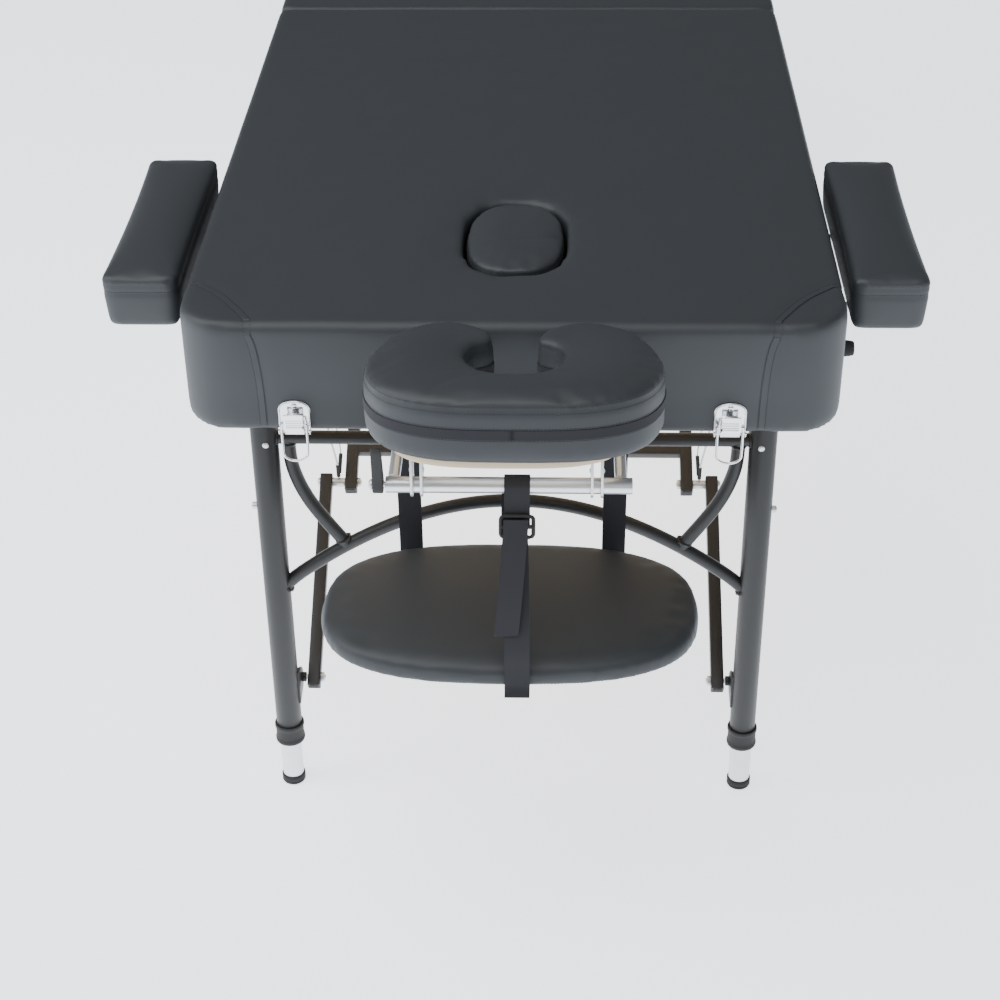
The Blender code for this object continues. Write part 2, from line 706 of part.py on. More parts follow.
def make_hinge(root, middle_y):
    """A piano hinge under the fold; the pin belongs to the head leaf."""
    for name, side, first in (("head_hinge_leaf", -1, 0), ("foot_hinge_leaf", 1, 1)):
        top = UNDERSIDE - 0.0008
        y_low, y_high = sorted((middle_y + side * 0.0045, middle_y + side * HINGE_REACH))
        plate = box((-HINGE_HALF, y_low, top - HINGE_LEAF), (HINGE_HALF, y_high, top))
        leaf = place(name, plate, "zinc", root, (0, middle_y, HINGE_Z))
        tools = []
        for index in range(first, 2 * KNUCKLE_PAIRS, 2):
            low, high = knuckle_span(index)
            y_low, y_high = sorted((middle_y + side * 0.001, middle_y + side * 0.006))
            tools.append(box((low, y_low, HINGE_Z + 0.0012), (high, y_high, top - 0.0002)))
            tools.append(x_bar(low, high, middle_y, HINGE_Z, HINGE_R, 10))
        if first == 0:
            tools.append(x_bar(-HINGE_HALF, HINGE_HALF, middle_y, HINGE_Z, HINGE_PIN_R, 8))
        combine(leaf, "UNION", *tools)
        if first == 1:
            reach = HINGE_HALF + CUT_PAST
            combine(leaf, "DIFFERENCE", x_bar(-reach, reach, middle_y, HINGE_Z, HINGE_PIN_R + 0.0004, 8))


def make_latch(suffix, half, x):
    """A draw latch: a riveted base, a lever between its ears and a wire bail hung on the lever."""
    half_w = LATCH_PLATE[0] / 2
    top = LATCH_BOTTOM + LATCH_PLATE[1]
    base = place(f"latch_base_{suffix}", box((x - half_w, -0.0018, LATCH_BOTTOM), (x + half_w, -GAP, top)),
                 "chrome", half, (x, 0, LATCH_BOTTOM))
    ears = []
    ear_low, ear_high = LEVER_PIVOT_Z - 0.0035, LEVER_PIVOT_Z + 0.0040
    for side in (-1, 1):
        x_low, x_high = sorted((x + side * (half_w - 0.0015), x + side * half_w))
        ears.append(box((x_low, -0.0090, ear_low), (x_high, -0.0010, ear_high)))
    rivet = y_bar(x, -0.0028, -0.0010, top - 0.0055, 0.0030, 10)
    combine(base, "UNION", *ears, rivet)
    reach = half_w + CUT_PAST
    pin_bore = x_bar(x - reach, x + reach, LATCH_LINE, LEVER_PIVOT_Z, LEVER_PIN_R + 0.0004, 8)
    combine(base, "DIFFERENCE", pin_bore)

    left, right = x - LEVER_HALF, x + LEVER_HALF
    body = box((left, LEVER_FRONT, LEVER_PIVOT_Z + 0.0025), (right, -0.0038, BAIL_PIVOT_Z + 0.0032))
    lever = place(f"latch_lever_{suffix}", body, "chrome", half, (x, LATCH_LINE, LEVER_PIVOT_Z))
    hub = x_bar(left, right, LATCH_LINE, LEVER_PIVOT_Z, LEVER_HUB_R)
    pin = x_bar(x - half_w - 0.0005, x + half_w + 0.0005, LATCH_LINE, LEVER_PIVOT_Z, LEVER_PIN_R, 8)
    tab = box((left, LEVER_FRONT, BAIL_PIVOT_Z + 0.002), (right, LEVER_FRONT + 0.002, top - 0.0105))
    combine(lever, "UNION", hub, pin, tab)
    bail_bore = x_bar(x - 0.02, x + 0.02, BAIL_LINE, BAIL_PIVOT_Z, BAIL_WIRE_R + 0.0006, 10)
    combine(lever, "DIFFERENCE", bail_bore)

    low, high = BAIL_BOTTOM + BAIL_WIRE_R, BAIL_PIVOT_Z
    reach = BAIL_HALF
    loop = [(x - reach, low + 0.008), (x - reach, high - 0.003), (x - reach + 0.002, high),
            (x + reach - 0.002, high), (x + reach, high - 0.003), (x + reach, low + 0.008)]
    for step in range(1, 6):
        angle = math.radians(180 - 180 * (6 - step) / 6)
        loop.append((x + reach * math.cos(angle), low + 0.008 - 0.008 * math.sin(angle)))
    path = [(px, BAIL_LINE, pz) for px, pz in loop]
    place(f"latch_bail_{suffix}", sweep(path, BAIL_WIRE_R, 8, closed=True), "chrome", half,
          (x, BAIL_LINE, BAIL_PIVOT_Z))


def make_keeper(name, half, x):
    """The hooked plate that a bail catches when the table is folded."""
    plate = box((x - 0.010, -0.0016, KEEPER_Z - 0.010), (x + 0.010, -GAP, KEEPER_Z + 0.012))
    keeper = place(name, plate, "chrome", half, (x, 0, KEEPER_Z))
    combine(keeper, "UNION",
            box((x - 0.006, -0.0048, KEEPER_Z - 0.002), (x + 0.006, -0.0010, KEEPER_Z - 0.0005)),
            box((x - 0.006, -0.0048, KEEPER_Z - 0.006), (x + 0.006, -0.0036, KEEPER_Z - 0.001)))


# ---- face cradle ---------------------------------------------------------------------------------
def horseshoe(right, inset=0.0):
    """A horseshoe's outline in the cradle's own plane, from the knots of its right half."""
    left = [(-x, y) for x, y in reversed(right[1:-1])]
    outline = [(p.x, p.y) for p in through(right + left, 3, closed=True)]
    return [(p.x, p.y) for p in ring_of(outline, 0, inset)]


def make_cradle_frame(half):
    """Two rods that plug into the end rail, joined by the cross tube that carries the platform."""
    tube = x_bar(-LEVER_X + 0.0075, CROSS_TUBE_END, CRADLE_LINE, SOCKET_Z, CROSS_TUBE_R, 14)
    frame = place("cradle_frame", tube, "aluminium", half, (0, CRADLE_LINE, SOCKET_Z))
    rods = [y_bar(x, CRADLE_LINE, SOCKET_END, SOCKET_Z, ROD_R) for x in (-SOCKET_X, SOCKET_X)]
    stud = x_bar(-LEVER_X - 0.008, -LEVER_X + 0.010, CRADLE_LINE, SOCKET_Z, BOLT_R, 8)
    combine(frame, "UNION", *rods, stud)


def make_cradle_platform(tilt):
    """The plywood horseshoe, in the tilting frame."""
    board = block(horseshoe(PLATFORM_KNOTS), PLATFORM_LOW, PLATFORM_LOW + PLATFORM_THICK)
    place("cradle_platform", board, "plywood", tilt)


def make_cradle_bracket(tilt):
    """A steel strap under the platform with two pairs of plates bored for the cross tube."""
    top = PLATFORM_LOW - GAP
    end = BRACKET_X + 0.012
    strap = box((-end, -0.016, top - BRACKET_THICK), (end, 0.014, top))
    bracket = place("cradle_bracket", strap, "zinc", tilt)
    plates = []
    for centre in (-BRACKET_X, BRACKET_X):
        for shift in (-BRACKET_SPREAD, BRACKET_SPREAD):
            x = centre + shift
            plates.append(box((x - BRACKET_THICK / 2, -0.0115, -0.0115),
                              (x + BRACKET_THICK / 2, 0.0115, top - 0.001)))
    combine(bracket, "UNION", *plates)
    reach = end + CUT_PAST
    combine(bracket, "DIFFERENCE", x_bar(-reach, reach, 0, 0, CROSS_TUBE_R + GAP, 14))


def make_cradle_cushion(tilt):
    low = PLATFORM_LOW + PLATFORM_THICK + GAP
    high = low + CUSHION_THICK
    levels = ((0.004, low), (0, low + 0.008), (0, high - 0.012), (0.002, high - 0.005), (0.006, high))
    rings = [[Vector((x, y, z)) for x, y in horseshoe(CUSHION_KNOTS, inset)] for inset, z in levels]
    place("cradle_cushion", stack(rings), "vinyl", tilt)


def make_cradle_lever(half):
    """The cam lever that clamps the tilt, on the left end of the cross tube."""
    x = -LEVER_X
    z = SOCKET_Z
    hub = x_bar(x - 0.006, x + 0.006, CRADLE_LINE, z, 0.0085)
    lever = place("cradle_lever", hub, "black_plastic", half, (x, CRADLE_LINE, z))
    rings = []
    for half_w, half_d, lean, rise in LEVER_BLADE:
        y = CRADLE_LINE + lean
        corners = ((-half_w, -half_d), (half_w, -half_d), (half_w, half_d), (-half_w, half_d))
        rings.append([Vector((x + dx, y + dy, z + rise)) for dx, dy in corners])
    combine(lever, "UNION", stack(rings))
    combine(lever, "DIFFERENCE", x_bar(x - 0.02, x + 0.02, CRADLE_LINE, z, BOLT_R + 0.0004, 8))


# ---- arm shelf and armrests ----------------------------------------------------------------------
def make_arm_shelf(half):
    outline = superellipse(*SHELF_SIZE, (0, SHELF_CENTRE), 2.7, 36)
    low, high = SHELF_Z
    levels = ((0.008, low), (0.001, low + 0.007), (0, low + 0.015), (0.001, high - 0.007), (0.008, high))
    place("arm_shelf", stack([ring_of(outline, z, inset) for inset, z in levels]), "vinyl", half,
          (0, SHELF_CENTRE, SOCKET_Z))


def make_harness(half):
    """The shelf's webbing: two rear straps and a front one, sewn to bands that run under the shelf."""
    rear = SHELF_CENTRE + SHELF_SIZE[1] / 2 + 0.0022
    front = SHELF_CENTRE - SHELF_SIZE[1] / 2 - 0.0022
    low = SHELF_Z[0] - 0.0024
    straps = []
    for x in (-SOCKET_X, SOCKET_X):
        path = [(rear - 0.012, SOCKET_Z - ROD_R - 0.001), (rear - 0.006, 0.50), (rear, SHELF_Z[1] + 0.004),
                (rear, low + 0.006), (rear - 0.003, low), (rear - 0.034, low)]
        straps.append(band(path, x, STRAP_WIDTH, STRAP_THICK))
    cross = box((-SOCKET_X - 0.012, rear - 0.032, low - STRAP_THICK * 0.45),
                (SOCKET_X + 0.012, rear - 0.008, low + STRAP_THICK * 0.45))
    path = [(CRADLE_LINE - CROSS_TUBE_R - 0.0015, SOCKET_Z - 0.002), (front, SHELF_Z[1] + 0.004),
            (front, low + 0.006), (front + 0.003, low), (rear - 0.018, low)]
    harness = place("shelf_harness", band(path, FRONT_STRAP_X, STRAP_WIDTH, STRAP_THICK), "webbing", half)
    combine(harness, "UNION", *straps, cross)


def make_armrest(suffix, half, side):
    """A padded side rest on a steel plate with two rods that plug into the side rail."""
    x_low, x_high = sorted((side * ARMREST_X[0], side * ARMREST_X[1]))
    outline = rounded_rectangle(x_low, x_high, *ARMREST_SPAN, (0.012, 0.012), 3)
    low, high = ARMREST_Z
    levels = ((0.003, low), (0, low + 0.006), (0, high - 0.010), (0.003, high - 0.003), (0.010, high))
    pivot = (side * ARMREST_X[0], sum(ARMREST_SPAN) / 2, ARMREST_ROD_Z)
    pad = stack([ring_of(outline, z, inset) for inset, z in levels])
    place(f"armrest_pad_{suffix}", pad, "vinyl", half, pivot)
    x_low, x_high = sorted((side * (ARMREST_X[0] + 0.012), side * (ARMREST_X[1] - 0.012)))
    y_low, y_high = ARMREST_ROD_Y[0] - 0.02, ARMREST_ROD_Y[1] + 0.02
    top = low - GAP
    plate = box((x_low, y_low, top - 0.003), (x_high, y_high, top))
    bracket = place(f"armrest_bracket_{suffix}", plate, "zinc", half, pivot)
    rod_x = (side * ARMREST_ROD_TIP, side * (ARMREST_X[1] - 0.02))
    rods = [x_bar(*rod_x, y, ARMREST_ROD_Z, ARMREST_ROD_R) for y in ARMREST_ROD_Y]
    combine(bracket, "UNION", *rods)


# ---- assembly ------------------------------------------------------------------------------------
def make_half(prefix, half, leg_x, is_head, carry_side):
    make_pad(f"{prefix}_pad", half, is_head)
    make_frame(f"{prefix}_wood_frame", half, is_head)
    make_leg_frame(f"{prefix}_leg_frame", half, leg_x)
    make_arms(f"{prefix}_brace_arms", half, leg_x)
    for side, suffix in ((-1, "a"), (1, "b")):
        make_telescopic_leg(f"{prefix}_{suffix}", half, side * leg_x)
        make_strut(f"{prefix}_strut_{suffix}", half, leg_x, side)
        make_cable(f"{prefix}_cable_{suffix}", half, leg_x, side)
    make_handle(f"{prefix}_handle", half, carry_side)
    make_bumpers(prefix, half, -carry_side)


def main():
    clear_scene()
    head = empty("head_half", (0, HEAD_END, 0))
    foot = empty("foot_half", (0, HEAD_END + 2 * HALF_LENGTH, 0), turn=(0, 0, math.pi))
    make_half("head", head, HEAD_LEG_X, True, -1)
    make_half("foot", foot, FOOT_LEG_X, False, 1)
    make_hinge(head, HALF_LENGTH)
    make_plug(head)
    for suffix, x in (("l", -LATCH_X), ("r", LATCH_X)):
        make_latch(suffix, head, x)
        make_keeper(f"keeper_{suffix}", foot, -x)
    tilt = empty("cradle_tilt", (0, CRADLE_LINE, SOCKET_Z), head, (CRADLE_TILT, 0, 0))
    make_cradle_frame(head)
    make_cradle_platform(tilt)
    make_cradle_bracket(tilt)
    make_cradle_cushion(tilt)
    make_cradle_lever(head)
    make_arm_shelf(head)
    make_harness(head)
    make_armrest("l", head, -1)
    make_armrest("r", head, 1)


main()
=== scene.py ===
"""Looks for a portable massage table: vinyl covers, tube legs, face cradle, arm shelf and fittings.

Every size is in metres.  Each half of the table has its own frame, with Y from the end of the half
towards the fold; the foot half's frame is turned half a turn about Z.
"""

import math

import bmesh
import bpy
import numpy as np
from bpy.props import FloatProperty, FloatVectorProperty, PointerProperty
from mathutils import Matrix, Vector, noise
from mathutils.bvhtree import BVHTree
from mathutils.kdtree import KDTree


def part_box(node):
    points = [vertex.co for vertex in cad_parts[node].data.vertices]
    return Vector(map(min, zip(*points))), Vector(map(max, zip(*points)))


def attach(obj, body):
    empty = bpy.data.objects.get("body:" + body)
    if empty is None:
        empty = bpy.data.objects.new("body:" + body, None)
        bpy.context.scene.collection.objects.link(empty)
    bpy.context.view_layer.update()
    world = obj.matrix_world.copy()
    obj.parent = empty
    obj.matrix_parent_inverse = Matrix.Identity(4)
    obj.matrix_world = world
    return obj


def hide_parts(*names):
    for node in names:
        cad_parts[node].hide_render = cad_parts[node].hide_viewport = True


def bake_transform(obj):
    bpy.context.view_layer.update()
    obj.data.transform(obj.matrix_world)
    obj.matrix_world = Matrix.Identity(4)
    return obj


bl_info = {
    "name": "Portable massage table",
    "version": (1, 0, 0),
    "blender": (4, 5, 0),
    "location": "3D View > Sidebar > Massage table",
    "description": "Models the covers, tubes, fittings and finishes of a folding massage table",
    "category": "Object",
}

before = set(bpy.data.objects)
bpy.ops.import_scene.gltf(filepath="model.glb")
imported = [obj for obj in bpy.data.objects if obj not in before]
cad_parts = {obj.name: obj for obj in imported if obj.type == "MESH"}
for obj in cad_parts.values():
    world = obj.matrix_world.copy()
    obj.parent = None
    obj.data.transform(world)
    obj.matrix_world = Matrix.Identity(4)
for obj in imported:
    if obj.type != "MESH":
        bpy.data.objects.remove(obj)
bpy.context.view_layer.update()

# ---- places taken from the frame ------------------------------------------------------------------
HEAD_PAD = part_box("head_pad")
FOOT_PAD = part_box("foot_pad")
HALF_WIDTH = HEAD_PAD[1].x + 0.00015
HALF_LENGTH = HEAD_PAD[1].y - HEAD_PAD[0].y + 0.0003
HEAD_END = HEAD_PAD[0].y - 0.00015
FOOT_END = FOOT_PAD[1].y + 0.00015
HEM_Z = HEAD_PAD[0].z
TOP_Z = HEAD_PAD[1].z
DECK_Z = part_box("head_wood_frame")[1].z
LEG_X = {"head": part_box("head_b_foot_cap")[1].x - 0.014, "foot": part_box("foot_a_foot_cap")[1].x - 0.014}
HALF = {
    "head": Matrix.Translation((0, HEAD_END, 0)),
    "foot": Matrix.Translation((0, FOOT_END, 0)) @ Matrix.Rotation(math.pi, 4, "Z"),
}
LEG_Y = 0.040
LEG_BOTTOM, LEG_TOP = 0.0755, 0.5605
AXLE_Z = 0.5525
CROSSBAR_Z = 0.4895
ARCH_FOOT_Z, ARCH_TOP_Z = 0.281, 0.409
LEG_R, BAR_R, AXLE_R = 0.015, 0.0075, 0.006
BUTTON_Z = 0.400
BRACE_LOW = Vector((0.062, 0.140))
BRACE_TOP = Vector((0.770, 0.5745))
ELBOW = Vector((0.280698, 0.274215))
BRACE_BAR = 0.015
STRUT_INSET, ARM_INSET = 0.031, 0.062
HOLE_Y = 0.207
SOCKET_X, SOCKET_Z = 0.110, 0.576
CRADLE_Y = -0.185
TILT = HALF["head"] @ Matrix.Translation((0, CRADLE_Y, SOCKET_Z)) @ Matrix.Rotation(math.radians(-8), 4, "X")
PLATFORM_LOW, PLATFORM_THICK = 0.040, 0.008
CUSHION_LOW, CUSHION_TOP = 0.0483, 0.1143
SHELF_Y = -0.128
SHELF_LOW, SHELF_TOP = 0.368, 0.398
SHELF_SIZE = (0.394, 0.230)
ARMREST_X, ARMREST_Y, ARMREST_Z = (0.362, 0.447), (0.113, 0.426), (0.583, 0.643)
LATCH_X = 0.229
LATCH_LINE, BAIL_LINE = -0.0062, -0.0097
LEVER_Z, BAIL_Z = 0.5255, 0.5355
HANDLE_Y, HANDLE_TOP = 0.560, 0.583
CUSHION_KNOTS = [(0.0, -0.060), (0.072, -0.055), (0.121, -0.028), (0.1425, 0.024), (0.136, 0.080),
                 (0.112, 0.128), (0.072, 0.150), (0.036, 0.134), (0.0235, 0.104), (0.042, 0.088),
                 (0.0495, 0.058), (0.034, 0.022), (0.0, 0.010)]
PLATFORM_KNOTS = [(0.0, -0.050), (0.064, -0.045), (0.102, -0.021), (0.1172, 0.026), (0.1135, 0.080),
                  (0.099, 0.114), (0.079, 0.122), (0.063, 0.108), (0.064, 0.072), (0.056, 0.040),
                  (0.034, 0.020), (0.0, 0.014)]


# ---- what a user would change ---------------------------------------------------------------------
def length(label, about, value, top=0.1):
    return FloatProperty(name=label, description=about, default=value, min=0.0, max=top, unit="LENGTH")


def colour(label, about, value):
    return FloatVectorProperty(
        name=label, description=about, default=value, subtype="COLOR", size=3, min=0.0, max=1.0
    )


class TableSizes(bpy.types.PropertyGroup):
    head_roll: length("Head roll", "Radius of the cover's roll at the ends of the table", 0.050)
    side_roll: length("Side roll", "Radius of the cover's roll along the long sides", 0.040)
    hem_roll: length("Hem roll", "How far the cover rolls in under its lower edge", 0.016)
    cover_belly: length("Cover belly", "How far the padded walls stand out in the middle", 0.003, 0.01)
    cover_voxel: length("Cover mesh", "Face size of the table covers", 0.0065, 0.02)
    cushion_voxel: length("Cushion mesh", "Face size of the small cushions before they are filled", 0.005,
                          0.02)
    stitch_pitch: length("Stitch pitch", "From one stitch to the next", 0.0034, 0.01)
    stitch_length: length("Stitch length", "Length of one stitch", 0.0024, 0.01)
    thread: length("Thread", "Thickness of the sewing thread", 0.0007, 0.003)
    seam_band: length("Seam band", "Width of the folded seam at the table's corners", 0.008, 0.03)
    strap_width: length("Strap width", "Width of the webbing straps", 0.025, 0.05)
    strap_thick: length("Strap thickness", "Thickness of the webbing", 0.0016, 0.005)
    weld: length("Weld", "Thickness of a weld bead", 0.0016, 0.005)


class TableColours(bpy.types.PropertyGroup):
    vinyl: colour("Vinyl", "Covers and cushions", (0.0050, 0.0055, 0.0066))
    vinyl_worn: colour("Vinyl, worn", "Where the vinyl has been rubbed or dusted", (0.0085, 0.0092, 0.0108))
    powder: colour("Powder coat", "Legs, braces and brackets", (0.0065, 0.0065, 0.0072))
    aluminium: colour("Aluminium", "Inner legs and the cradle's tubes", (0.72, 0.73, 0.75))
    zinc: colour("Zinc", "Bolts, plates and hinge", (0.62, 0.63, 0.65))
    chrome: colour("Chrome", "Latches", (0.80, 0.81, 0.83))
    plywood: colour("Plywood", "The cradle's platform", (0.74, 0.58, 0.38))
    wood: colour("Wood", "Rails and deck", (0.62, 0.45, 0.27))
    webbing: colour("Webbing", "Straps and handles", (0.010, 0.010, 0.011))
    floor: colour("Floor", "The studio floor", (0.86, 0.89, 0.93))


# ---- modelling helpers ----------------------------------------------------------------------------
def let_go():
    if bpy.context.mode != "OBJECT":
        bpy.ops.object.mode_set(mode="OBJECT")
    bpy.ops.object.select_all(action="DESELECT")


def take(*objs):
    let_go()
    for obj in objs:
        obj.select_set(True)
    bpy.context.view_layer.objects.active = objs[0]
    return objs[0]


def bake_place(obj):
    take(obj)
    bpy.ops.object.transform_apply(location=True, rotation=True, scale=True)
    return obj


def apply(obj, kind, **values):
    """Adds a modifier with these values and applies it."""
    take(obj)
    modifier = obj.modifiers.new(kind.title(), kind)
    for key, value in values.items():
        setattr(modifier, key, value)
    bpy.ops.object.modifier_apply(modifier=modifier.name)
    return obj


def face_out(obj):
    """Merges doubles and turns every face outwards."""
    take(obj)
    bpy.ops.object.mode_set(mode="EDIT")
    bpy.ops.mesh.select_all(action="SELECT")
    bpy.ops.mesh.remove_doubles(threshold=1e-6)
    bpy.ops.mesh.normals_make_consistent(inside=False)
    bpy.ops.object.mode_set(mode="OBJECT")
    return obj


def round_edges(obj, width, segments=2, angle=35):
    return apply(obj, "BEVEL", width=width, segments=segments, limit_method="ANGLE",
                 angle_limit=math.radians(angle))


def cut(obj, *tools):
    """Takes the tools' shapes out of obj and removes the tools."""
    for tool in tools:
        apply(obj, "BOOLEAN", operation="DIFFERENCE", solver="EXACT", object=tool)
        bpy.data.objects.remove(tool, do_unlink=True)
    return obj


def join(name, parts):
    parts = list(parts)
    obj = take(*parts)
    if len(parts) > 1:
        bpy.ops.object.join()
    obj.name = name
    obj.data.name = name
    return obj


def coords(mesh):
    flat = np.zeros(len(mesh.vertices) * 3, np.float32)
    mesh.vertices.foreach_get("co", flat)
    return flat.reshape(-1, 3).astype(float)


def set_coords(mesh, points):
    mesh.vertices.foreach_set("co", points.astype(np.float32).ravel())
    mesh.update()


def rod(start, end, radius, sides=24, end_radius=None, bevel=0.0):
    """A round bar or a taper between two points."""
    start, end = Vector(start), Vector(end)
    along = end - start
    let_go()
    bpy.ops.mesh.primitive_cone_add(
        vertices=sides, radius1=radius, radius2=radius if end_radius is None else end_radius,
        depth=along.length, location=(start + end) / 2, rotation=along.to_track_quat("Z", "Y").to_euler(),
    )
    obj = bake_place(bpy.context.object)
    return round_edges(obj, bevel, 2, 50) if bevel else obj


def brick(low, high, bevel=0.0, segments=2):
    """A block between two corners, with rounded edges."""
    low, high = Vector(low), Vector(high)
    let_go()
    bpy.ops.mesh.primitive_cube_add(size=1, location=(low + high) / 2, scale=high - low)
    obj = bake_place(bpy.context.object)
    return round_edges(obj, bevel, segments) if bevel else obj


def slab(outline, low, high, bevel=0.0, segments=2, turn=None):
    """A plate from an outline, drawn up from low to high and then turned into place."""
    let_go()
    bpy.ops.mesh.primitive_circle_add(vertices=len(outline), radius=1, fill_type="NGON")
    obj = bpy.context.object
    for vertex, (x, y) in zip(obj.data.vertices, outline):
        vertex.co = (x, y, low)
    bpy.ops.object.mode_set(mode="EDIT")
    bpy.ops.mesh.select_all(action="SELECT")
    bpy.ops.mesh.extrude_region_move(TRANSFORM_OT_translate={"value": (0, 0, high - low)})
    bpy.ops.object.mode_set(mode="OBJECT")
    face_out(obj)
    if bevel:
        round_edges(obj, bevel, segments, 50)
    if turn is not None:
        obj.data.transform(turn)
    return obj


def lathe(profile, place=None, steps=32):
    """A turned shape about Z from (radius, z) points, placed with a matrix."""
    let_go()
    bpy.ops.mesh.primitive_circle_add(vertices=max(len(profile), 3), radius=1, fill_type="NOTHING")
    obj = bpy.context.object
    mesh = bmesh.new()
    points = [mesh.verts.new((radius, 0, z)) for radius, z in profile]
    for a, b in zip(points, points[1:]):
        mesh.edges.new((a, b))
    mesh.to_mesh(obj.data)
    mesh.free()
    apply(obj, "SCREW", steps=steps, render_steps=steps, use_merge_vertices=True, merge_threshold=1e-5,
          use_smooth_shade=False)
    if place is not None:
        obj.data.transform(place)
    return face_out(obj)


def through(points, steps, closed=False):
    """Points on a smooth curve through the given ones."""
    points = [Vector(p) for p in points]
    count = len(points)
    result = []
    for i in range(count if closed else count - 1):
        p1, p2 = points[i], points[(i + 1) % count]
        p0 = points[i - 1] if closed or i else p1
        p3 = points[(i + 2) % count] if closed or i + 2 < count else p2
        for k in range(steps):
            t = k / steps
            result.append(
                0.5 * (2 * p1 + (p2 - p0) * t + (2 * p0 - 5 * p1 + 4 * p2 - p3) * t**2
                       + (3 * p1 - p0 - 3 * p2 + p3) * t**3)
            )
    if not closed:
        result.append(points[-1])
    return result


def even(points, pitch, closed=False):
    """The same line with points at an even pitch."""
    line = np.array([tuple(p) for p in points], float)
    if closed:
        line = np.vstack([line, line[:1]])
    run = np.concatenate([[0], np.cumsum(np.linalg.norm(np.diff(line, axis=0), axis=1))])
    count = max(int(round(run[-1] / pitch)), 2)
    stops = np.linspace(0, run[-1], count + 1)
    if closed:
        stops = stops[:-1]
    return [Vector([np.interp(s, run, line[:, k]) for k in range(line.shape[1])]) for s in stops]


def pipe(points, radius, closed=False, resolution=5, steps=6, smooth=True):
    """A round tube along a line, with filled ends."""
    path = through(points, steps, closed) if smooth else [Vector(p) for p in points]
    let_go()
    bpy.ops.curve.primitive_nurbs_path_add()
    obj = bpy.context.object
    data = obj.data
    data.splines.clear()
    spline = data.splines.new("POLY")
    spline.points.add(len(path) - 1)
    spline.points.foreach_set("co", [c for p in path for c in (*p, 1.0)])
    spline.use_cyclic_u = closed
    data.dimensions = "3D"
    data.bevel_depth = radius
    data.bevel_resolution = resolution
    data.use_fill_caps = True
    take(obj)
    bpy.ops.object.convert(target="MESH")
    return face_out(bpy.context.object)


def ribbon(points, width, thick, sides, across=4):
    """A flat strap along a line.  sides gives its width's direction at each point, or one for all."""
    path = [Vector(p) for p in points]
    count = len(path)
    if isinstance(sides, Vector):
        sides = [sides] * count
    let_go()
    bpy.ops.mesh.primitive_grid_add(x_subdivisions=across, y_subdivisions=count - 1, size=2)
    obj = bpy.context.object
    run = [0.0]
    for a, b in zip(path, path[1:]):
        run.append(run[-1] + (b - a).length)
    rows = [(v.co.x, (v.co.y + 1) / 2 * (count - 1)) for v in obj.data.vertices]
    layer = obj.data.uv_layers.active
    for loop in obj.data.loops:
        x, row = rows[loop.vertex_index]
        layer.data[loop.index].uv = (x * width / 2, run[int(round(row))])
    for vertex, (x, row) in zip(obj.data.vertices, rows):
        i = int(round(row))
        vertex.co = path[i] + sides[i] * (x * width / 2)
    return apply(obj, "SOLIDIFY", thickness=thick, offset=0, use_even_offset=True)


def superellipse(width, depth, centre, power, count=96):
    points = []
    for i in range(count):
        angle = 2 * math.pi * i / count
        c, s = math.cos(angle), math.sin(angle)
        points.append((centre[0] + math.copysign(abs(c) ** (2 / power), c) * width / 2,
                       centre[1] + math.copysign(abs(s) ** (2 / power), s) * depth / 2))
    return points


def rounded(x_low, x_high, y_low, y_high, radii, steps=6):
    """A rectangle's outline with round corners; radii are those at low y and at high y."""
    near, far = radii
    points = []
    for x, y, radius, start in ((x_high - near, y_low + near, near, -90),
                                (x_high - far, y_high - far, far, 0),
                                (x_low + far, y_high - far, far, 90),
                                (x_low + near, y_low + near, near, 180)):
        for i in range(steps + 1):
            angle = math.radians(start + 90 * i / steps)
            points.append((x + radius * math.cos(angle), y + radius * math.sin(angle)))
    return points


def horseshoe(right, steps=8):
    left = [(-x, y) for x, y in reversed(right[1:-1])]
    return [tuple(p) for p in through(right + left, steps, closed=True)]


def inset(outline, amount):
    """An outline moved in towards its inside."""
    line = np.array(outline, float)
    after, before = np.roll(line, -1, 0), np.roll(line, 1, 0)
    area = np.sum(line[:, 0] * after[:, 1] - after[:, 0] * line[:, 1])
    along = after - before
    along /= np.linalg.norm(along, axis=1)[:, None] + 1e-12
    side = np.sign(area)
    moved = line + amount * side * np.stack([-along[:, 1], along[:, 0]], 1)
    return [tuple(p) for p in moved]


def remesh(obj, size):
    return apply(obj, "REMESH", mode="VOXEL", voxel_size=size)


def relax(obj, factor, rounds):
    return apply(obj, "SMOOTH", factor=factor, iterations=rounds)


# ---- sewing ---------------------------------------------------------------------------------------
def surface(obj):
    dg = bpy.context.evaluated_depsgraph_get()
    return BVHTree.FromObject(obj, dg)


def lay_on(tree, points, lift=0.0):
    """Points moved onto a surface, each with the surface's normal there."""
    found = []
    for point in points:
        place, normal, _, _ = tree.find_nearest(Vector(point))
        found.append((place + normal * lift, normal))
    return found


def directions(line, closed=False):
    """The direction of a line at each of its points."""
    count = len(line)
    result = []
    for i in range(count):
        a = line[i - 1] if closed or i else line[i]
        b = line[(i + 1) % count] if closed or i + 1 < count else line[i]
        result.append((Vector(b) - Vector(a)).normalized())
    return result


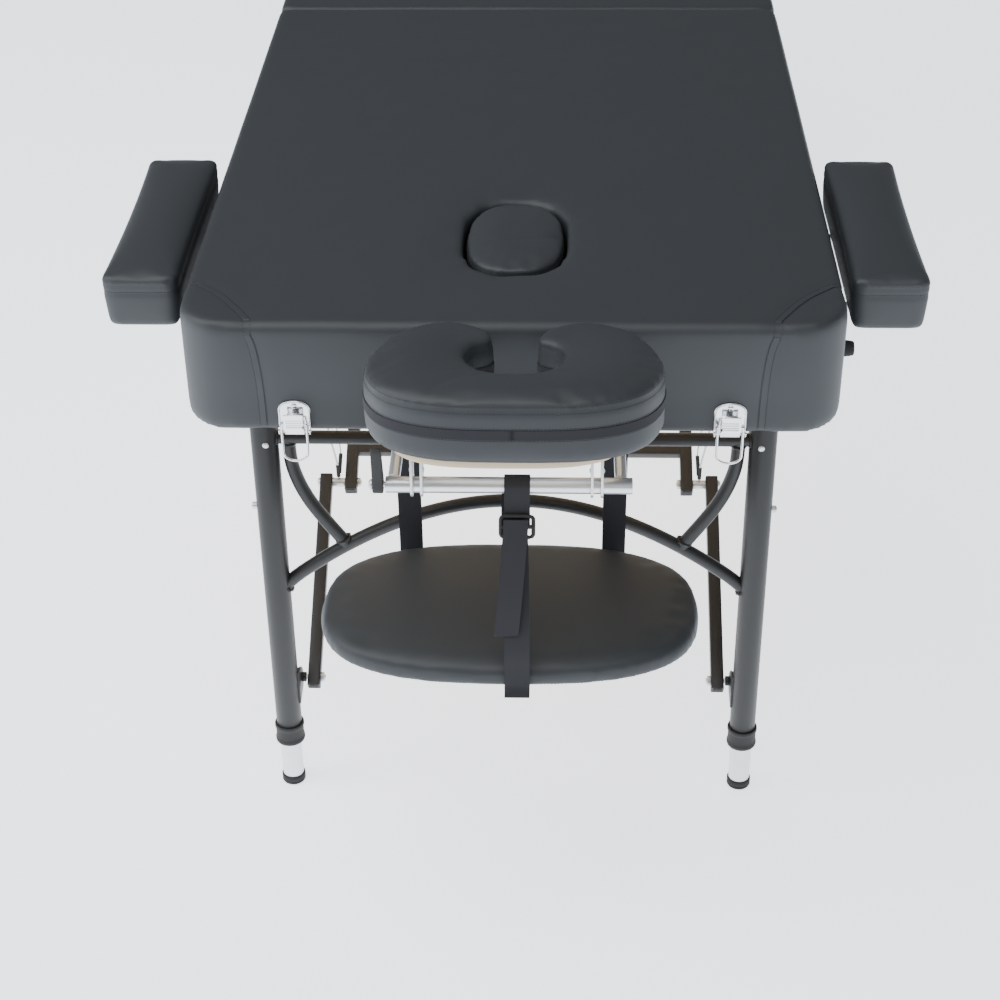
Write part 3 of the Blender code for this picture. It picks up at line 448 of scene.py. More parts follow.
def stitches(name, obj, lines, sizes):
    """Rows of small stitches laid on a cushion along each line; a line is (points, closed, offset)."""
    tree = surface(obj)
    let_go()
    bpy.ops.mesh.primitive_uv_sphere_add(segments=6, ring_count=4, radius=1)
    one = bpy.context.object
    shape = coords(one.data)
    faces = [tuple(p.vertices) for p in one.data.polygons]
    bpy.data.objects.remove(one, do_unlink=True)
    scale = np.array([sizes.stitch_length / 2, sizes.thread / 2, sizes.thread / 2])
    points, polygons = [], []
    for line, closed, offset in lines:
        path = even(line, sizes.stitch_pitch, closed)
        laid = lay_on(tree, path)
        for (place, normal), along in zip(laid, directions([p for p, _ in laid], closed)):
            side = normal.cross(along).normalized()
            spot, normal, _, _ = tree.find_nearest(place + side * offset)
            along = (along - normal * along.dot(normal)).normalized()
            turn = np.array([along, normal.cross(along), normal], float)
            start = len(points) * len(shape)
            points.append((shape * scale) @ turn + np.array(spot + normal * sizes.thread * 0.10))
            polygons += [tuple(start + i for i in f) for f in faces]
    mesh = bpy.data.meshes.new(name)
    mesh.from_pydata(np.vstack(points).tolist(), [], polygons)
    made = bpy.data.objects.new(name, mesh)
    bpy.context.collection.objects.link(made)
    mesh.shade_smooth()
    return made


def mark_seams(obj, lines, reach=0.03):
    """Stores how far sideways each point is from its nearest seam, and how near that seam is."""
    tree = surface(obj)
    places, sides = [], []
    for line, closed in lines:
        laid = lay_on(tree, even(line, 0.002, closed))
        for (place, normal), along in zip(laid, directions([p for p, _ in laid], closed)):
            places.append(place)
            sides.append(normal.cross(along).normalized())
    near = KDTree(len(places))
    for i, place in enumerate(places):
        near.insert(place, i)
    near.balance()
    count = len(obj.data.vertices)
    offset, closeness = np.full(count, reach), np.zeros(count)
    for i, vertex in enumerate(obj.data.vertices):
        _, k, gap = near.find(vertex.co)
        if gap < reach:
            offset[i] = (vertex.co - places[k]).dot(sides[k])
            closeness[i] = 1.0 - gap / reach
    for label, values in (("seam_offset", offset), ("seam_near", closeness)):
        layer = obj.data.attributes.new(label, "FLOAT", "POINT")
        layer.data.foreach_set("value", values.astype(np.float32))
    return offset, closeness


def press_seams(obj, offset, closeness, depth=0.0012, width=0.006):
    """Draws the cover in a little along its seams."""
    mesh = obj.data
    normals = np.zeros(len(mesh.vertices) * 3, np.float32)
    mesh.vertices.foreach_get("normal", normals)
    shape = np.exp(-((offset / width) ** 2)) * (closeness > 0.6)
    set_coords(mesh, coords(mesh) - normals.reshape(-1, 3) * (depth * shape)[:, None])


def fill_out(obj, voxel, pressure, cap, sewn=None):
    """Fills a cover as foam does: its sewn points stay, and the panels between them swell."""
    remesh(obj, voxel)
    relax(obj, 0.5, 3)
    mesh = obj.data
    before = coords(mesh)
    take(obj)
    cloth = obj.modifiers.new("Cloth", "CLOTH")
    cloth.settings.use_pressure = True
    cloth.settings.uniform_pressure_force = pressure
    cloth.settings.effector_weights.gravity = 0
    cloth.settings.quality = 5
    cloth.point_cache.frame_start = 1
    cloth.point_cache.frame_end = 20
    if sewn is not None:
        held = obj.vertex_groups.new(name="sewn")
        for i, point in enumerate(before):
            weight = sewn(Vector(point))
            if weight > 0:
                held.add([i], weight, "REPLACE")
        cloth.settings.vertex_group_mass = "sewn"
        cloth.settings.pin_stiffness = 1.0
    for step in range(1, 21):
        bpy.context.scene.frame_set(step)
    bpy.ops.object.modifier_apply(modifier=cloth.name)
    after = coords(obj.data)
    shift = after - before
    far = np.linalg.norm(shift, axis=1)
    shift *= (np.minimum(far, cap) / np.maximum(far, 1e-9))[:, None]
    set_coords(obj.data, before + shift)
    obj.vertex_groups.clear()
    bpy.context.scene.frame_set(1)
    relax(obj, 0.5, 2)
    apply(obj, "SUBSURF", levels=1, render_levels=1)
    return obj


def finish_piece(obj, name, finish, body, place, stands_for=(), sharp=40):
    """Moves a piece into place, names it, gives it its finish and hands it to its CAD body.

    A body is one name, or (body, body, start, end) for a piece that spans two; such a piece is only baked
    into world space, and the tuple's names and ends are not used.
    """
    obj.data.transform(place)
    obj.name = name
    obj.data.name = name
    obj.data.materials.clear()
    obj.data.materials.append(bpy.data.materials[finish])
    take(obj)
    if sharp >= 180:
        bpy.ops.object.shade_smooth()
    else:
        bpy.ops.object.shade_smooth_by_angle(angle=math.radians(sharp))
    if isinstance(body, str):
        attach(obj, body)
    else:
        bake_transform(obj)
    if stands_for:
        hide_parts(*stands_for)


# ---- finishes -------------------------------------------------------------------------------------
def new_group(name, inputs, outputs):
    """A shader node group with named sockets, and its input and output nodes."""
    tree = bpy.data.node_groups.new(name, "ShaderNodeTree")
    for label, kind, value in inputs:
        socket = tree.interface.new_socket(name=label, in_out="INPUT", socket_type="NodeSocket" + kind)
        if value is not None:
            socket.default_value = value
    for label, kind in outputs:
        tree.interface.new_socket(name=label, in_out="OUTPUT", socket_type="NodeSocket" + kind)
    return tree, tree.nodes.new("NodeGroupInput"), tree.nodes.new("NodeGroupOutput")


def add(tree, kind, sources=(), **values):
    """A node; sources are (input name or number, output socket or value)."""
    made = tree.nodes.new("ShaderNode" + kind)
    for key, value in values.items():
        setattr(made, key, value)
    for key, value in sources:
        if isinstance(value, bpy.types.NodeSocket):
            tree.links.new(value, made.inputs[key])
        else:
            made.inputs[key].default_value = value
    return made


def sums(tree, operation, a, b=0.0, c=0.0):
    return add(tree, "Math", [(0, a), (1, b), (2, c)], operation=operation).outputs[0]


def grade(tree, value, low, high, to_low=0.0, to_high=1.0, kind="SMOOTHSTEP"):
    made = add(tree, "MapRange", [("Value", value), ("From Min", low), ("From Max", high),
                                  ("To Min", to_low), ("To Max", to_high)], interpolation_type=kind)
    return made.outputs["Result"]


def stretched(tree, vector, scale):
    return add(tree, "Mapping", [("Vector", vector), ("Scale", scale)]).outputs["Vector"]


VECTOR_IN = ("Vector", "Vector", None)


HEIGHT, MASK = ("Height", "Float"), ("Mask", "Float")


def noise_at(tree, into, scale, detail, **more):
    """Noise at the group's own place, at a scale."""
    sources = [("Vector", into.outputs["Vector"]), ("Scale", scale), ("Detail", detail), *more.items()]
    return add(tree, "TexNoise", sources).outputs["Fac"]


def give(tree, into, out, height, mask=None):
    """Links a group's results; the height is taken times the group's own depth."""
    tree.links.new(sums(tree, "MULTIPLY", height, into.outputs["Depth"]), out.inputs["Height"])
    if mask is not None:
        tree.links.new(mask, out.inputs["Mask"])


def make_leather_grain():
    tree, into, out = new_group(
        "Leather grain", [VECTOR_IN, ("Cell", "Float", 0.0012), ("Depth", "Float", 0.00005)],
        [HEIGHT, ("Crease", "Float")])
    scale = sums(tree, "DIVIDE", 1.0, into.outputs["Cell"])
    sources = [("Vector", into.outputs["Vector"]), ("Scale", scale), ("Randomness", 0.9)]
    cells = add(tree, "TexVoronoi", sources, feature="DISTANCE_TO_EDGE")
    crease = grade(tree, cells.outputs["Distance"], 0.0, 0.16)
    give(tree, into, out, sums(tree, "MULTIPLY_ADD", noise_at(tree, into, scale, 3.0), 0.6, crease))
    tree.links.new(crease, out.inputs["Crease"])


def make_soft_folds():
    tree, into, out = new_group(
        "Soft folds", [VECTOR_IN, ("Size", "Float", 0.05), ("Depth", "Float", 0.0006)], [HEIGHT])
    scale = sums(tree, "DIVIDE", 1.0, into.outputs["Size"])
    give(tree, into, out, noise_at(tree, into, scale, 2.0, Roughness=0.4, Distortion=0.6))


def make_sewn_line():
    """Reads the attributes that mark_seams leaves on a cushion."""
    tree, into, out = new_group(
        "Sewn line", [VECTOR_IN, ("Width", "Float", 0.0016), ("Depth", "Float", 0.0008)], [HEIGHT, MASK])
    offset = add(tree, "Attribute", attribute_name="seam_offset").outputs["Fac"]
    near = add(tree, "Attribute", attribute_name="seam_near").outputs["Fac"]
    close = grade(tree, near, 0.70, 0.90)
    share = sums(tree, "DIVIDE", sums(tree, "ABSOLUTE", offset), into.outputs["Width"])
    groove = sums(tree, "MULTIPLY", grade(tree, share, 0.0, 1.0, 1.0, 0.0), close)
    gathers = sums(tree, "MULTIPLY", sums(tree, "MULTIPLY", noise_at(tree, into, 170.0, 1.0), close), 0.45)
    # The mask is the seam groove; the vinyl paints shade into it by darkening its base colour.
    give(tree, into, out, sums(tree, "SUBTRACT", gathers, groove), groove)


def make_powder_speckle():
    tree, into, out = new_group(
        "Powder speckle", [VECTOR_IN, ("Scale", "Float", 900.0), ("Depth", "Float", 0.00004)],
        [HEIGHT, MASK])
    peel = noise_at(tree, into, into.outputs["Scale"], 2.0, Roughness=0.6)
    give(tree, into, out, peel, grade(tree, peel, 0.45, 0.65))


def make_wear():
    tree, into, out = new_group(
        "Wear", [VECTOR_IN, ("Size", "Float", 0.08), ("Amount", "Float", 1.0)], [MASK])
    scale = sums(tree, "DIVIDE", 1.0, into.outputs["Size"])
    broad = noise_at(tree, into, scale, 6.0, Roughness=0.62)
    specks = noise_at(tree, into, sums(tree, "MULTIPLY", scale, 14.0), 2.0)
    worn = grade(tree, broad, 0.38, 0.70)
    both = sums(tree, "MULTIPLY_ADD", grade(tree, specks, 0.62, 0.72), 0.35, worn)
    tree.links.new(sums(tree, "MULTIPLY", both, into.outputs["Amount"]), out.inputs["Mask"])


def make_brushed_lines():
    tree, into, out = new_group(
        "Brushed lines", [VECTOR_IN, ("Depth", "Float", 0.00001)], [HEIGHT, MASK])
    lines = noise_at(tree, into, 1.0, 4.0, Roughness=0.7)
    give(tree, into, out, lines, lines)


def make_woven_ribs():
    tree, into, out = new_group(
        "Woven ribs", [VECTOR_IN, ("Pitch", "Float", 0.0022), ("Depth", "Float", 0.0003)], [HEIGHT, MASK])
    split = add(tree, "SeparateXYZ", [("Vector", into.outputs["Vector"])])
    turns = sums(tree, "DIVIDE", 2 * math.pi, into.outputs["Pitch"])
    warp = sums(tree, "MULTIPLY", split.outputs["X"], turns)
    weft = sums(tree, "MULTIPLY", split.outputs["Y"], turns)
    over = sums(tree, "SINE", sums(tree, "ADD", warp, weft))
    under = sums(tree, "SINE", sums(tree, "SUBTRACT", sums(tree, "MULTIPLY", warp, 2.0), weft))
    rib = sums(tree, "ABSOLUTE", sums(tree, "SINE", sums(tree, "MULTIPLY", weft, 0.5)))
    weave = sums(tree, "MULTIPLY_ADD", sums(tree, "MULTIPLY", over, under), 0.35, rib)
    weave = sums(tree, "MULTIPLY_ADD", noise_at(tree, into, 2400.0, 1.0), 0.5, weave)
    # The mask follows the weave's height; the webbing paints shade and highlight with it.
    give(tree, into, out, weave, grade(tree, weave, 0.5, 1.3))


def make_wood_figure():
    tree, into, out = new_group("Wood figure", [VECTOR_IN, ("Depth", "Float", 0.00006)], [HEIGHT, MASK])
    warped = noise_at(tree, into, 1.0, 5.0, Roughness=0.6, Distortion=1.2)
    figure = grade(tree, sums(tree, "FRACT", sums(tree, "MULTIPLY", warped, 7.0)), 0.0, 1.0)
    give(tree, into, out, figure, figure)


def make_groups():
    """The effects that several finishes share."""
    for maker in (make_leather_grain, make_soft_folds, make_sewn_line, make_powder_speckle, make_wear,
                  make_brushed_lines, make_woven_ribs, make_wood_figure):
        maker()


def new_finish(name, roughness, metallic=0.0, **sockets):
    """An empty finish: its tree, its Principled shader and the Object coordinates."""
    material = bpy.data.materials.new(name)
    material.use_nodes = True
    tree = material.node_tree
    shader = tree.nodes["Principled BSDF"]
    shader.inputs["Roughness"].default_value = roughness
    shader.inputs["Metallic"].default_value = metallic
    for key, value in sockets.items():
        shader.inputs[key.replace("_", " ")].default_value = value
    return tree, shader, add(tree, "TexCoord").outputs["Object"]


def effect(tree, name, vector, **values):
    made = add(tree, "Group", node_tree=bpy.data.node_groups[name])
    tree.links.new(vector, made.inputs["Vector"])
    for key, value in values.items():
        made.inputs[key].default_value = value
    return made.outputs


def mixed(tree, mask, low, high):
    """One colour where the mask is 0 and the other where it is 1."""
    made = tree.nodes.new("ShaderNodeMix")
    made.data_type = "RGBA"
    tree.links.new(mask, made.inputs[0])
    for number, value in ((6, low), (7, high)):
        if isinstance(value, bpy.types.NodeSocket):
            tree.links.new(value, made.inputs[number])
        else:
            made.inputs[number].default_value = (*value, 1)
    return made.outputs[2]


def bumps(tree, shader, heights, strength=1.0):
    total = heights[0]
    for height in heights[1:]:
        total = sums(tree, "ADD", total, height)
    bump = add(tree, "Bump", [("Height", total), ("Strength", strength), ("Distance", 1.0)])
    tree.links.new(bump.outputs["Normal"], shader.inputs["Normal"])


def paler(shade, share):
    return tuple(min(1.0, c * (1 + share)) for c in shade)


def make_vinyl(colours):
    tree, shader, at = new_finish("vinyl", 0.42, Specular_IOR_Level=0.38, Coat_Weight=0.09,
                                  Coat_Roughness=0.30)
    grain = effect(tree, "Leather grain", at, Cell=0.0011, Depth=0.000045)
    folds = effect(tree, "Soft folds", at, Size=0.06, Depth=0.0009)
    sewn = effect(tree, "Sewn line", at)
    worn = effect(tree, "Wear", at, Size=0.11, Amount=0.7)
    shade = mixed(tree, worn["Mask"], colours.vinyl, colours.vinyl_worn)
    # Painted shade: along the sewn seam grooves the vinyl's base colour drops to 0.45 of itself.
    painted_seam_shade = mixed(tree, sewn["Mask"], shade, tuple(c * 0.45 for c in colours.vinyl))
    tree.links.new(painted_seam_shade, shader.inputs["Base Color"])
    rough = sums(tree, "MULTIPLY_ADD", worn["Mask"], 0.07, 0.375)
    tree.links.new(sums(tree, "MULTIPLY_ADD", grain["Crease"], -0.05, rough), shader.inputs["Roughness"])
    bumps(tree, shader, [grain["Height"], folds["Height"], sewn["Height"]])


def make_thread(colours):
    tree, shader, at = new_finish("thread", 0.55)
    twist = effect(tree, "Brushed lines", stretched(tree, at, (2500, 2500, 2500)), Depth=0.00004)
    shade = mixed(tree, twist["Mask"], (0.006, 0.006, 0.007), (0.030, 0.031, 0.034))
    tree.links.new(shade, shader.inputs["Base Color"])
    bumps(tree, shader, [twist["Height"]])


def make_powder_coat(colours):
    tree, shader, at = new_finish("black_steel", 0.40, 0.0, Coat_Weight=0.15, Coat_Roughness=0.35)
    peel = effect(tree, "Powder speckle", at, Scale=1100.0, Depth=0.00003)
    worn = effect(tree, "Wear", at, Size=0.05, Amount=0.8)
    shade = mixed(tree, worn["Mask"], colours.powder, paler(colours.powder, 0.9))
    tree.links.new(shade, shader.inputs["Base Color"])
    tree.links.new(sums(tree, "MULTIPLY_ADD", worn["Mask"], 0.12, 0.34), shader.inputs["Roughness"])
    bumps(tree, shader, [peel["Height"]])


def make_metals(colours):
    for name, shade, rough, lines, depth in (
        ("aluminium", colours.aluminium, 0.30, (900, 900, 30), 0.000012),
        ("zinc", colours.zinc, 0.32, (500, 500, 500), 0.000010),
        ("chrome", colours.chrome, 0.10, (260, 260, 260), 0.000003),
        ("brass", (0.72, 0.52, 0.24), 0.28, (400, 400, 400), 0.000008),
    ):
        tree, shader, at = new_finish(name, rough, 1.0)
        brushed = effect(tree, "Brushed lines", stretched(tree, at, lines), Depth=depth)
        worn = effect(tree, "Wear", at, Size=0.02, Amount=1.0)
        tone = mixed(tree, worn["Mask"], shade, tuple(c * 0.78 for c in shade))
        tree.links.new(tone, shader.inputs["Base Color"])
        tree.links.new(sums(tree, "MULTIPLY_ADD", brushed["Mask"], 0.12, rough - 0.06),
                       shader.inputs["Roughness"])
        bumps(tree, shader, [brushed["Height"]])


def make_timber(colours):
    for name, shade, rough, stretch in (("wood", colours.wood, 0.55, (60, 5, 60)),
                                        ("plywood", colours.plywood, 0.5, (45, 6, 45))):
        tree, shader, at = new_finish(name, rough)
        figure = effect(tree, "Wood figure", stretched(tree, at, stretch))
        worn = effect(tree, "Wear", at, Size=0.15, Amount=0.6)
        tone = mixed(tree, figure["Mask"], shade, tuple(c * 0.72 for c in shade))
        tone = mixed(tree, worn["Mask"], tone, paler(shade, 0.10))
        if name == "plywood":
            ply = add(tree, "Attribute", attribute_name="ply").outputs["Fac"]
            layer = sums(tree, "FRACT", sums(tree, "MULTIPLY", ply, 2.5))
            glue = grade(tree, sums(tree, "ABSOLUTE", sums(tree, "SUBTRACT", layer, 0.5)), 0.40, 0.48)
            tone = mixed(tree, glue, tone, (0.30, 0.19, 0.10))
            tone = mixed(tree, grade(tree, layer, 0.48, 0.52, 0.0, 0.28), tone, (0.50, 0.34, 0.19))
        tree.links.new(tone, shader.inputs["Base Color"])
        tree.links.new(sums(tree, "MULTIPLY_ADD", figure["Mask"], 0.12, rough - 0.05),
                       shader.inputs["Roughness"])
        bumps(tree, shader, [figure["Height"]])


def make_plastics(colours):
    for name, shade, rough, grain in (("black_plastic", (0.012, 0.012, 0.013), 0.42, 0.00003),
                                      ("rubber", (0.010, 0.010, 0.010), 0.72, 0.00008)):
        tree, shader, at = new_finish(name, rough)
        peel = effect(tree, "Powder speckle", at, Scale=1600.0, Depth=grain)
        worn = effect(tree, "Wear", at, Size=0.02, Amount=0.9)
        tree.links.new(mixed(tree, worn["Mask"], shade, paler(shade, 1.2)), shader.inputs["Base Color"])
        tree.links.new(sums(tree, "MULTIPLY_ADD", worn["Mask"], 0.10, rough - 0.04),
                       shader.inputs["Roughness"])
        bumps(tree, shader, [peel["Height"]])


def make_webbing(colours):
    tree, shader, _ = new_finish("webbing", 0.62, Sheen_Weight=0.25, Sheen_Roughness=0.5)
    at = add(tree, "TexCoord").outputs["UV"]
    ribs = effect(tree, "Woven ribs", at, Pitch=0.0024, Depth=0.00035)
    worn = effect(tree, "Wear", at, Size=0.01, Amount=0.5)
    # Painted shade and highlight: the weave's hollows are darkened and its raised ribs paled, following the
    # rib height.
    tone = mixed(tree, ribs["Mask"], tuple(c * 0.55 for c in colours.webbing), paler(colours.webbing, 1.8))
    tone = mixed(tree, worn["Mask"], tone, paler(colours.webbing, 3.0))
    tree.links.new(tone, shader.inputs["Base Color"])
    tree.links.new(sums(tree, "MULTIPLY_ADD", ribs["Mask"], -0.14, 0.70), shader.inputs["Roughness"])
    bumps(tree, shader, [ribs["Height"]])


def make_cable_finish(colours):
    tree, shader, at = new_finish("cable", 0.32, 1.0)
    split = add(tree, "SeparateXYZ", [("Vector", at)])
    lay = sums(tree, "MULTIPLY", sums(tree, "MULTIPLY_ADD", split.outputs["X"], 1.6, split.outputs["Z"]),
               1900.0)
    strand = sums(tree, "ABSOLUTE", sums(tree, "SINE", lay))
    worn = effect(tree, "Wear", at, Size=0.02, Amount=1.0)
    # Painted shade and highlight: the grooves between the strands are dark and the strand crowns pale,
    # following the strand lay.
    tone = mixed(tree, strand, (0.16, 0.16, 0.17), (0.62, 0.63, 0.65))
    tone = mixed(tree, worn["Mask"], tone, (0.40, 0.41, 0.42))
    tree.links.new(tone, shader.inputs["Base Color"])
    tree.links.new(sums(tree, "MULTIPLY_ADD", strand, -0.10, 0.40), shader.inputs["Roughness"])
    bumps(tree, shader, [sums(tree, "MULTIPLY", strand, 0.00012)])


def make_floor_finish(colours):
    tree, shader, at = new_finish("studio_floor", 0.60, Emission_Color=(0.88, 0.93, 1.0, 1),
                                  Emission_Strength=1.9)
    worn = effect(tree, "Wear", at, Size=0.6, Amount=0.5)
    tree.links.new(mixed(tree, worn["Mask"], colours.floor, tuple(c * 0.975 for c in colours.floor)),
                   shader.inputs["Base Color"])


# ---- shapes shared by several pieces --------------------------------------------------------------
SIDEWAYS = Matrix(((0, 0, 1, 0), (1, 0, 0, 0), (0, 1, 0, 0), (0, 0, 0, 1)))
UPRIGHT = Matrix.Rotation(math.radians(90), 4, "X")


def soften(obj, width, segments, weight):
    """Rounds edges by a share of the width, which weight gives from an edge's two ends."""
    mesh = obj.data
    layer = mesh.attributes.get("bevel_weight_edge") or mesh.attributes.new("bevel_weight_edge", "FLOAT",
                                                                            "EDGE")
    shares = [float(weight(*(mesh.vertices[i].co for i in e.vertices))) for e in mesh.edges]
    layer.data.foreach_set("value", shares)
    apply(obj, "BEVEL", width=width, segments=segments, limit_method="WEIGHT")
    spent = obj.data.attributes.get("bevel_weight_edge")
    if spent:
        obj.data.attributes.remove(spent)
    return obj


def aim(point, direction):
    """A matrix that puts Z along a direction at a point."""
    return Matrix.Translation(Vector(point)) @ Vector(direction).to_track_quat("Z", "Y").to_matrix().to_4x4()


def dome(point, direction, radius, height, steps=20):
    profile = [(0, height), (radius * 0.45, height * 0.94), (radius * 0.8, height * 0.70),
               (radius * 0.97, height * 0.35),
               (radius, 0), (0, 0)]
    return lathe(profile, aim(point, direction), steps)


def hex_nut(point, direction, radius, height):
    outline = [(radius * math.cos(a), radius * math.sin(a)) for a in (k * math.pi / 3 for k in range(6))]
    return slab(outline, 0, height, radius * 0.08, 2, aim(point, direction))


def square_tube(x, start, end, past_start=0.0, past_end=0.0, size=BRACE_BAR):
    """A square tube in the (y, z) plane with rolled corners, and plugs for its two ends."""
    start, end = Vector(start), Vector(end)
    along = (end - start).normalized()
    a, b = start - along * past_start, end + along * past_end
    outline = rounded(-size / 2, size / 2, -size / 2, size / 2, (0.0018, 0.0018), 3)
    z_axis = Vector((0, along.x, along.y))
    x_axis = Vector((1, 0, 0))
    y_axis = z_axis.cross(x_axis)
    turn = Matrix.Translation((x, a.x, a.y)) @ Matrix((x_axis, y_axis, z_axis)).transposed().to_4x4()
    tube = slab(outline, 0, (b - a).length, 0.0004, 1, turn)
    ends = []
    for at, way in ((a, -z_axis), (b, z_axis)):
        plug = rounded(-size * 0.36, size * 0.36, -size * 0.36, size * 0.36, (0.0015, 0.0015), 3)
        ends.append(slab(plug, -0.001, 0.0007, 0.0003, 1, aim((x, at.x, at.y), way)))
    return tube, ends


def weld(point, direction, radius, bead):
    """An uneven ring of weld round a tube."""
    let_go()
    bpy.ops.mesh.primitive_torus_add(major_segments=28, minor_segments=8, major_radius=radius,
                                     minor_radius=bead)
    obj = bake_place(bpy.context.object)
    points = coords(obj.data)
    for i, p in enumerate(points):
        angle = math.atan2(p[1], p[0])
        points[i] *= 1 + 0.05 * math.sin(9 * angle) + 0.03 * math.sin(23 * angle + 1)
    set_coords(obj.data, points)
    obj.data.transform(aim(point, direction))
    return obj


def copy_of(obj):
    made = obj.copy()
    made.data = obj.data.copy()
    bpy.context.collection.objects.link(made)
    return made


def mirrored(obj):
    """A copy on the other side of the table's middle plane."""
    made = copy_of(obj)
    made.data.transform(Matrix.Scale(-1, 4, (1, 0, 0)))
    made.data.flip_normals()
    return made


def ring_at(outline, z):
    return [Vector((x, y, z)) for x, y in outline]


def band_on(tree, line, closed, width, thick, lift):
    """A strap lying on a surface along a line."""
    laid = lay_on(tree, line, lift)
    path = [p for p, _ in laid]
    sides = [n.cross(d).normalized() for (_, n), d in zip(laid, directions(path, closed))]
    if closed:
        path, sides = path + path[:1], sides + sides[:1]
    return ribbon(path, width, thick, sides, 6)


# ---- table covers ---------------------------------------------------------------------------------
HOLE_HALF = (0.0575, 0.0885)
HOLE_POWER = 2.6
HOLE_MEAN = (HOLE_HALF[0] + HOLE_HALF[1]) / 2 + 0.001
HEAD_CORNER, FOLD_CORNER = 0.055, 0.014
FOLD_ROLL_SHARE, FOLD_HEM_SHARE = 0.25, 0.2
BELLY_FROM = 0.562
CROWN = 0.0025
POCKET_WALL = 0.0101
CORNER_SEAM = [(0.262, -0.01, 0.523), (0.2625, -0.01, 0.560), (0.2645, -0.01, 0.600), (0.270, 0.006, 0.632),
               (0.285, 0.032, 0.652), (0.306, 0.062, 0.654), (0.328, 0.084, 0.646), (0.345, 0.099, 0.628),
               (0.356, 0.106, 0.602), (0.358, 0.108, 0.565), (0.356, 0.108, 0.526)]


def hole_distance(x, y):
    """About how far a point of the top is from the breath hole's edge."""
    a, b = HOLE_HALF
    share = (abs(x / a) ** HOLE_POWER + abs((y - HOLE_Y) / b) ** HOLE_POWER) ** (1 / HOLE_POWER)
    return (share - 1) * HOLE_MEAN


def shape_cover(obj, sizes, with_hole):
    """Gives the block of foam its bellied walls, the dimple round the hole and soft unevenness."""
    mesh = obj.data
    points = coords(mesh)
    for i, (x, y, z) in enumerate(points):
        high = max(0.0, min(1.0, (z - BELLY_FROM) / (TOP_Z - BELLY_FROM)))
        belly = math.sin(math.pi * high) * sizes.cover_belly
        if y < 0.03:
            points[i, 1] -= belly * max(0.0, 1 - (x / 0.33) ** 4) * (1 - y / 0.03)
        if abs(x) > HALF_WIDTH - 0.03:
            fade = min(1.0, max(0.0, (y - 0.03) / 0.15)) * min(1.0, max(0.0, (HALF_LENGTH - y) / 0.12))
            points[i, 0] += math.copysign(belly * 0.3 * fade, x)
        if z > TOP_Z - 0.03:
            share = (z - TOP_Z + 0.03) / 0.03
            crown = CROWN * (1 - (x / HALF_WIDTH) ** 2) * (1 - (2 * y / HALF_LENGTH - 1) ** 2)
            uneven = 0.0011 * noise.noise(Vector((x * 9, y * 7,
                                                  3.1))) + 0.0004 * noise.noise(Vector((x * 31, y * 27, 8)))
            drop = 0.0
            if with_hole:
                gap = hole_distance(x, y)
                angle = math.atan2(y - HOLE_Y, x)
                drop = 0.0022 * math.exp(-((gap / 0.006) ** 2)) + 0.0022 * math.exp(-((gap / 0.030) ** 2))
                pucker = math.sin(11 * angle + 2 * math.sin(3 * angle))
                drop += 0.0006 * pucker * math.exp(-((gap / 0.022) ** 2))
            points[i, 2] += share * (crown + uneven - drop)
    set_coords(mesh, points)


def make_cover(prefix, sizes):
    with_hole = prefix == "head"
    obj = brick((-HALF_WIDTH, 0, HEM_Z), (HALF_WIDTH, HALF_LENGTH, TOP_Z))
    soften(obj, HEAD_CORNER, 8, lambda a, b: abs(a.z - b.z) > 0.05 and a.y < 0.001)
    soften(obj, FOLD_CORNER, 3, lambda a, b: abs(a.z - b.z) > 0.05 and a.y > HALF_LENGTH - 0.001)
    side_share = sizes.side_roll / sizes.head_roll

    def top_share(a, b):
        if min(a.z, b.z) < TOP_Z - 1e-5:
            return 0
        if min(a.y, b.y) > HALF_LENGTH - 0.02:
            return FOLD_ROLL_SHARE
        return side_share + (1 - side_share) * max(0.0, 1 - (a.y + b.y) / 2 / HEAD_CORNER)

    soften(obj, sizes.head_roll, 7, top_share)

    def hem_share(a, b):
        if max(a.z, b.z) > HEM_Z + 1e-5:
            return 0
        return FOLD_HEM_SHARE if min(a.y, b.y) > HALF_LENGTH - 0.02 else 1

    soften(obj, sizes.hem_roll, 4, hem_share)
    if with_hole:
        hole = superellipse(2 * HOLE_HALF[0], 2 * HOLE_HALF[1], (0, HOLE_Y), HOLE_POWER)
        cut(obj, slab(hole, HEM_Z - 0.02, TOP_Z + 0.02))
    remesh(obj, sizes.cover_voxel)
    relax(obj, 0.5, 5)
    shape_cover(obj, sizes, with_hole)
    pocket = rounded(-HALF_WIDTH + POCKET_WALL, HALF_WIDTH - POCKET_WALL, POCKET_WALL,
                     HALF_LENGTH - POCKET_WALL, (0.040, 0.004))
    cut(obj, slab(pocket, HEM_Z - 0.02, DECK_Z + 0.0003))
    seams = [CORNER_SEAM, [(-x, y, z) for x, y, z in CORNER_SEAM]]
    seams = [[p for p, _ in lay_on(surface(obj), even(through(s, 6), 0.004))] for s in seams]
    offset, near = mark_seams(obj, [(s, False) for s in seams])
    press_seams(obj, offset, near, 0.0010, 0.010)
    tree = surface(obj)
    bands, rows = [], []
    for seam in seams:
        bands.append(band_on(tree, seam, False, sizes.seam_band - 0.0016, 0.0011, 0.0002))
        rows += [(seam, False, sizes.seam_band / 2), (seam, False, -sizes.seam_band / 2)]
    body = f"{prefix}_half"
    thread = stitches(f"{prefix}_cover_stitches", obj, rows, sizes)
    turn = HALF[prefix]
    band = join(f"{prefix}_seam_bands", bands)
    round_edges(band, 0.0004, 2, 50)
    flat = band.data.attributes.new("seam_offset", "FLOAT", "POINT")
    flat.data.foreach_set("value", [1.0] * len(band.data.vertices))
    finish_piece(obj, f"{prefix}_cover", "vinyl", body, turn, [f"{prefix}_pad"], sharp=60)
    finish_piece(band, f"{prefix}_seam_bands", "vinyl", body, turn, sharp=35)
    finish_piece(thread, thread.name, "thread", body, turn, sharp=180)


# The face cushion is held by hook tape, and lies a little to the right of its board.
CUSHION_SHIFT = 0.0065


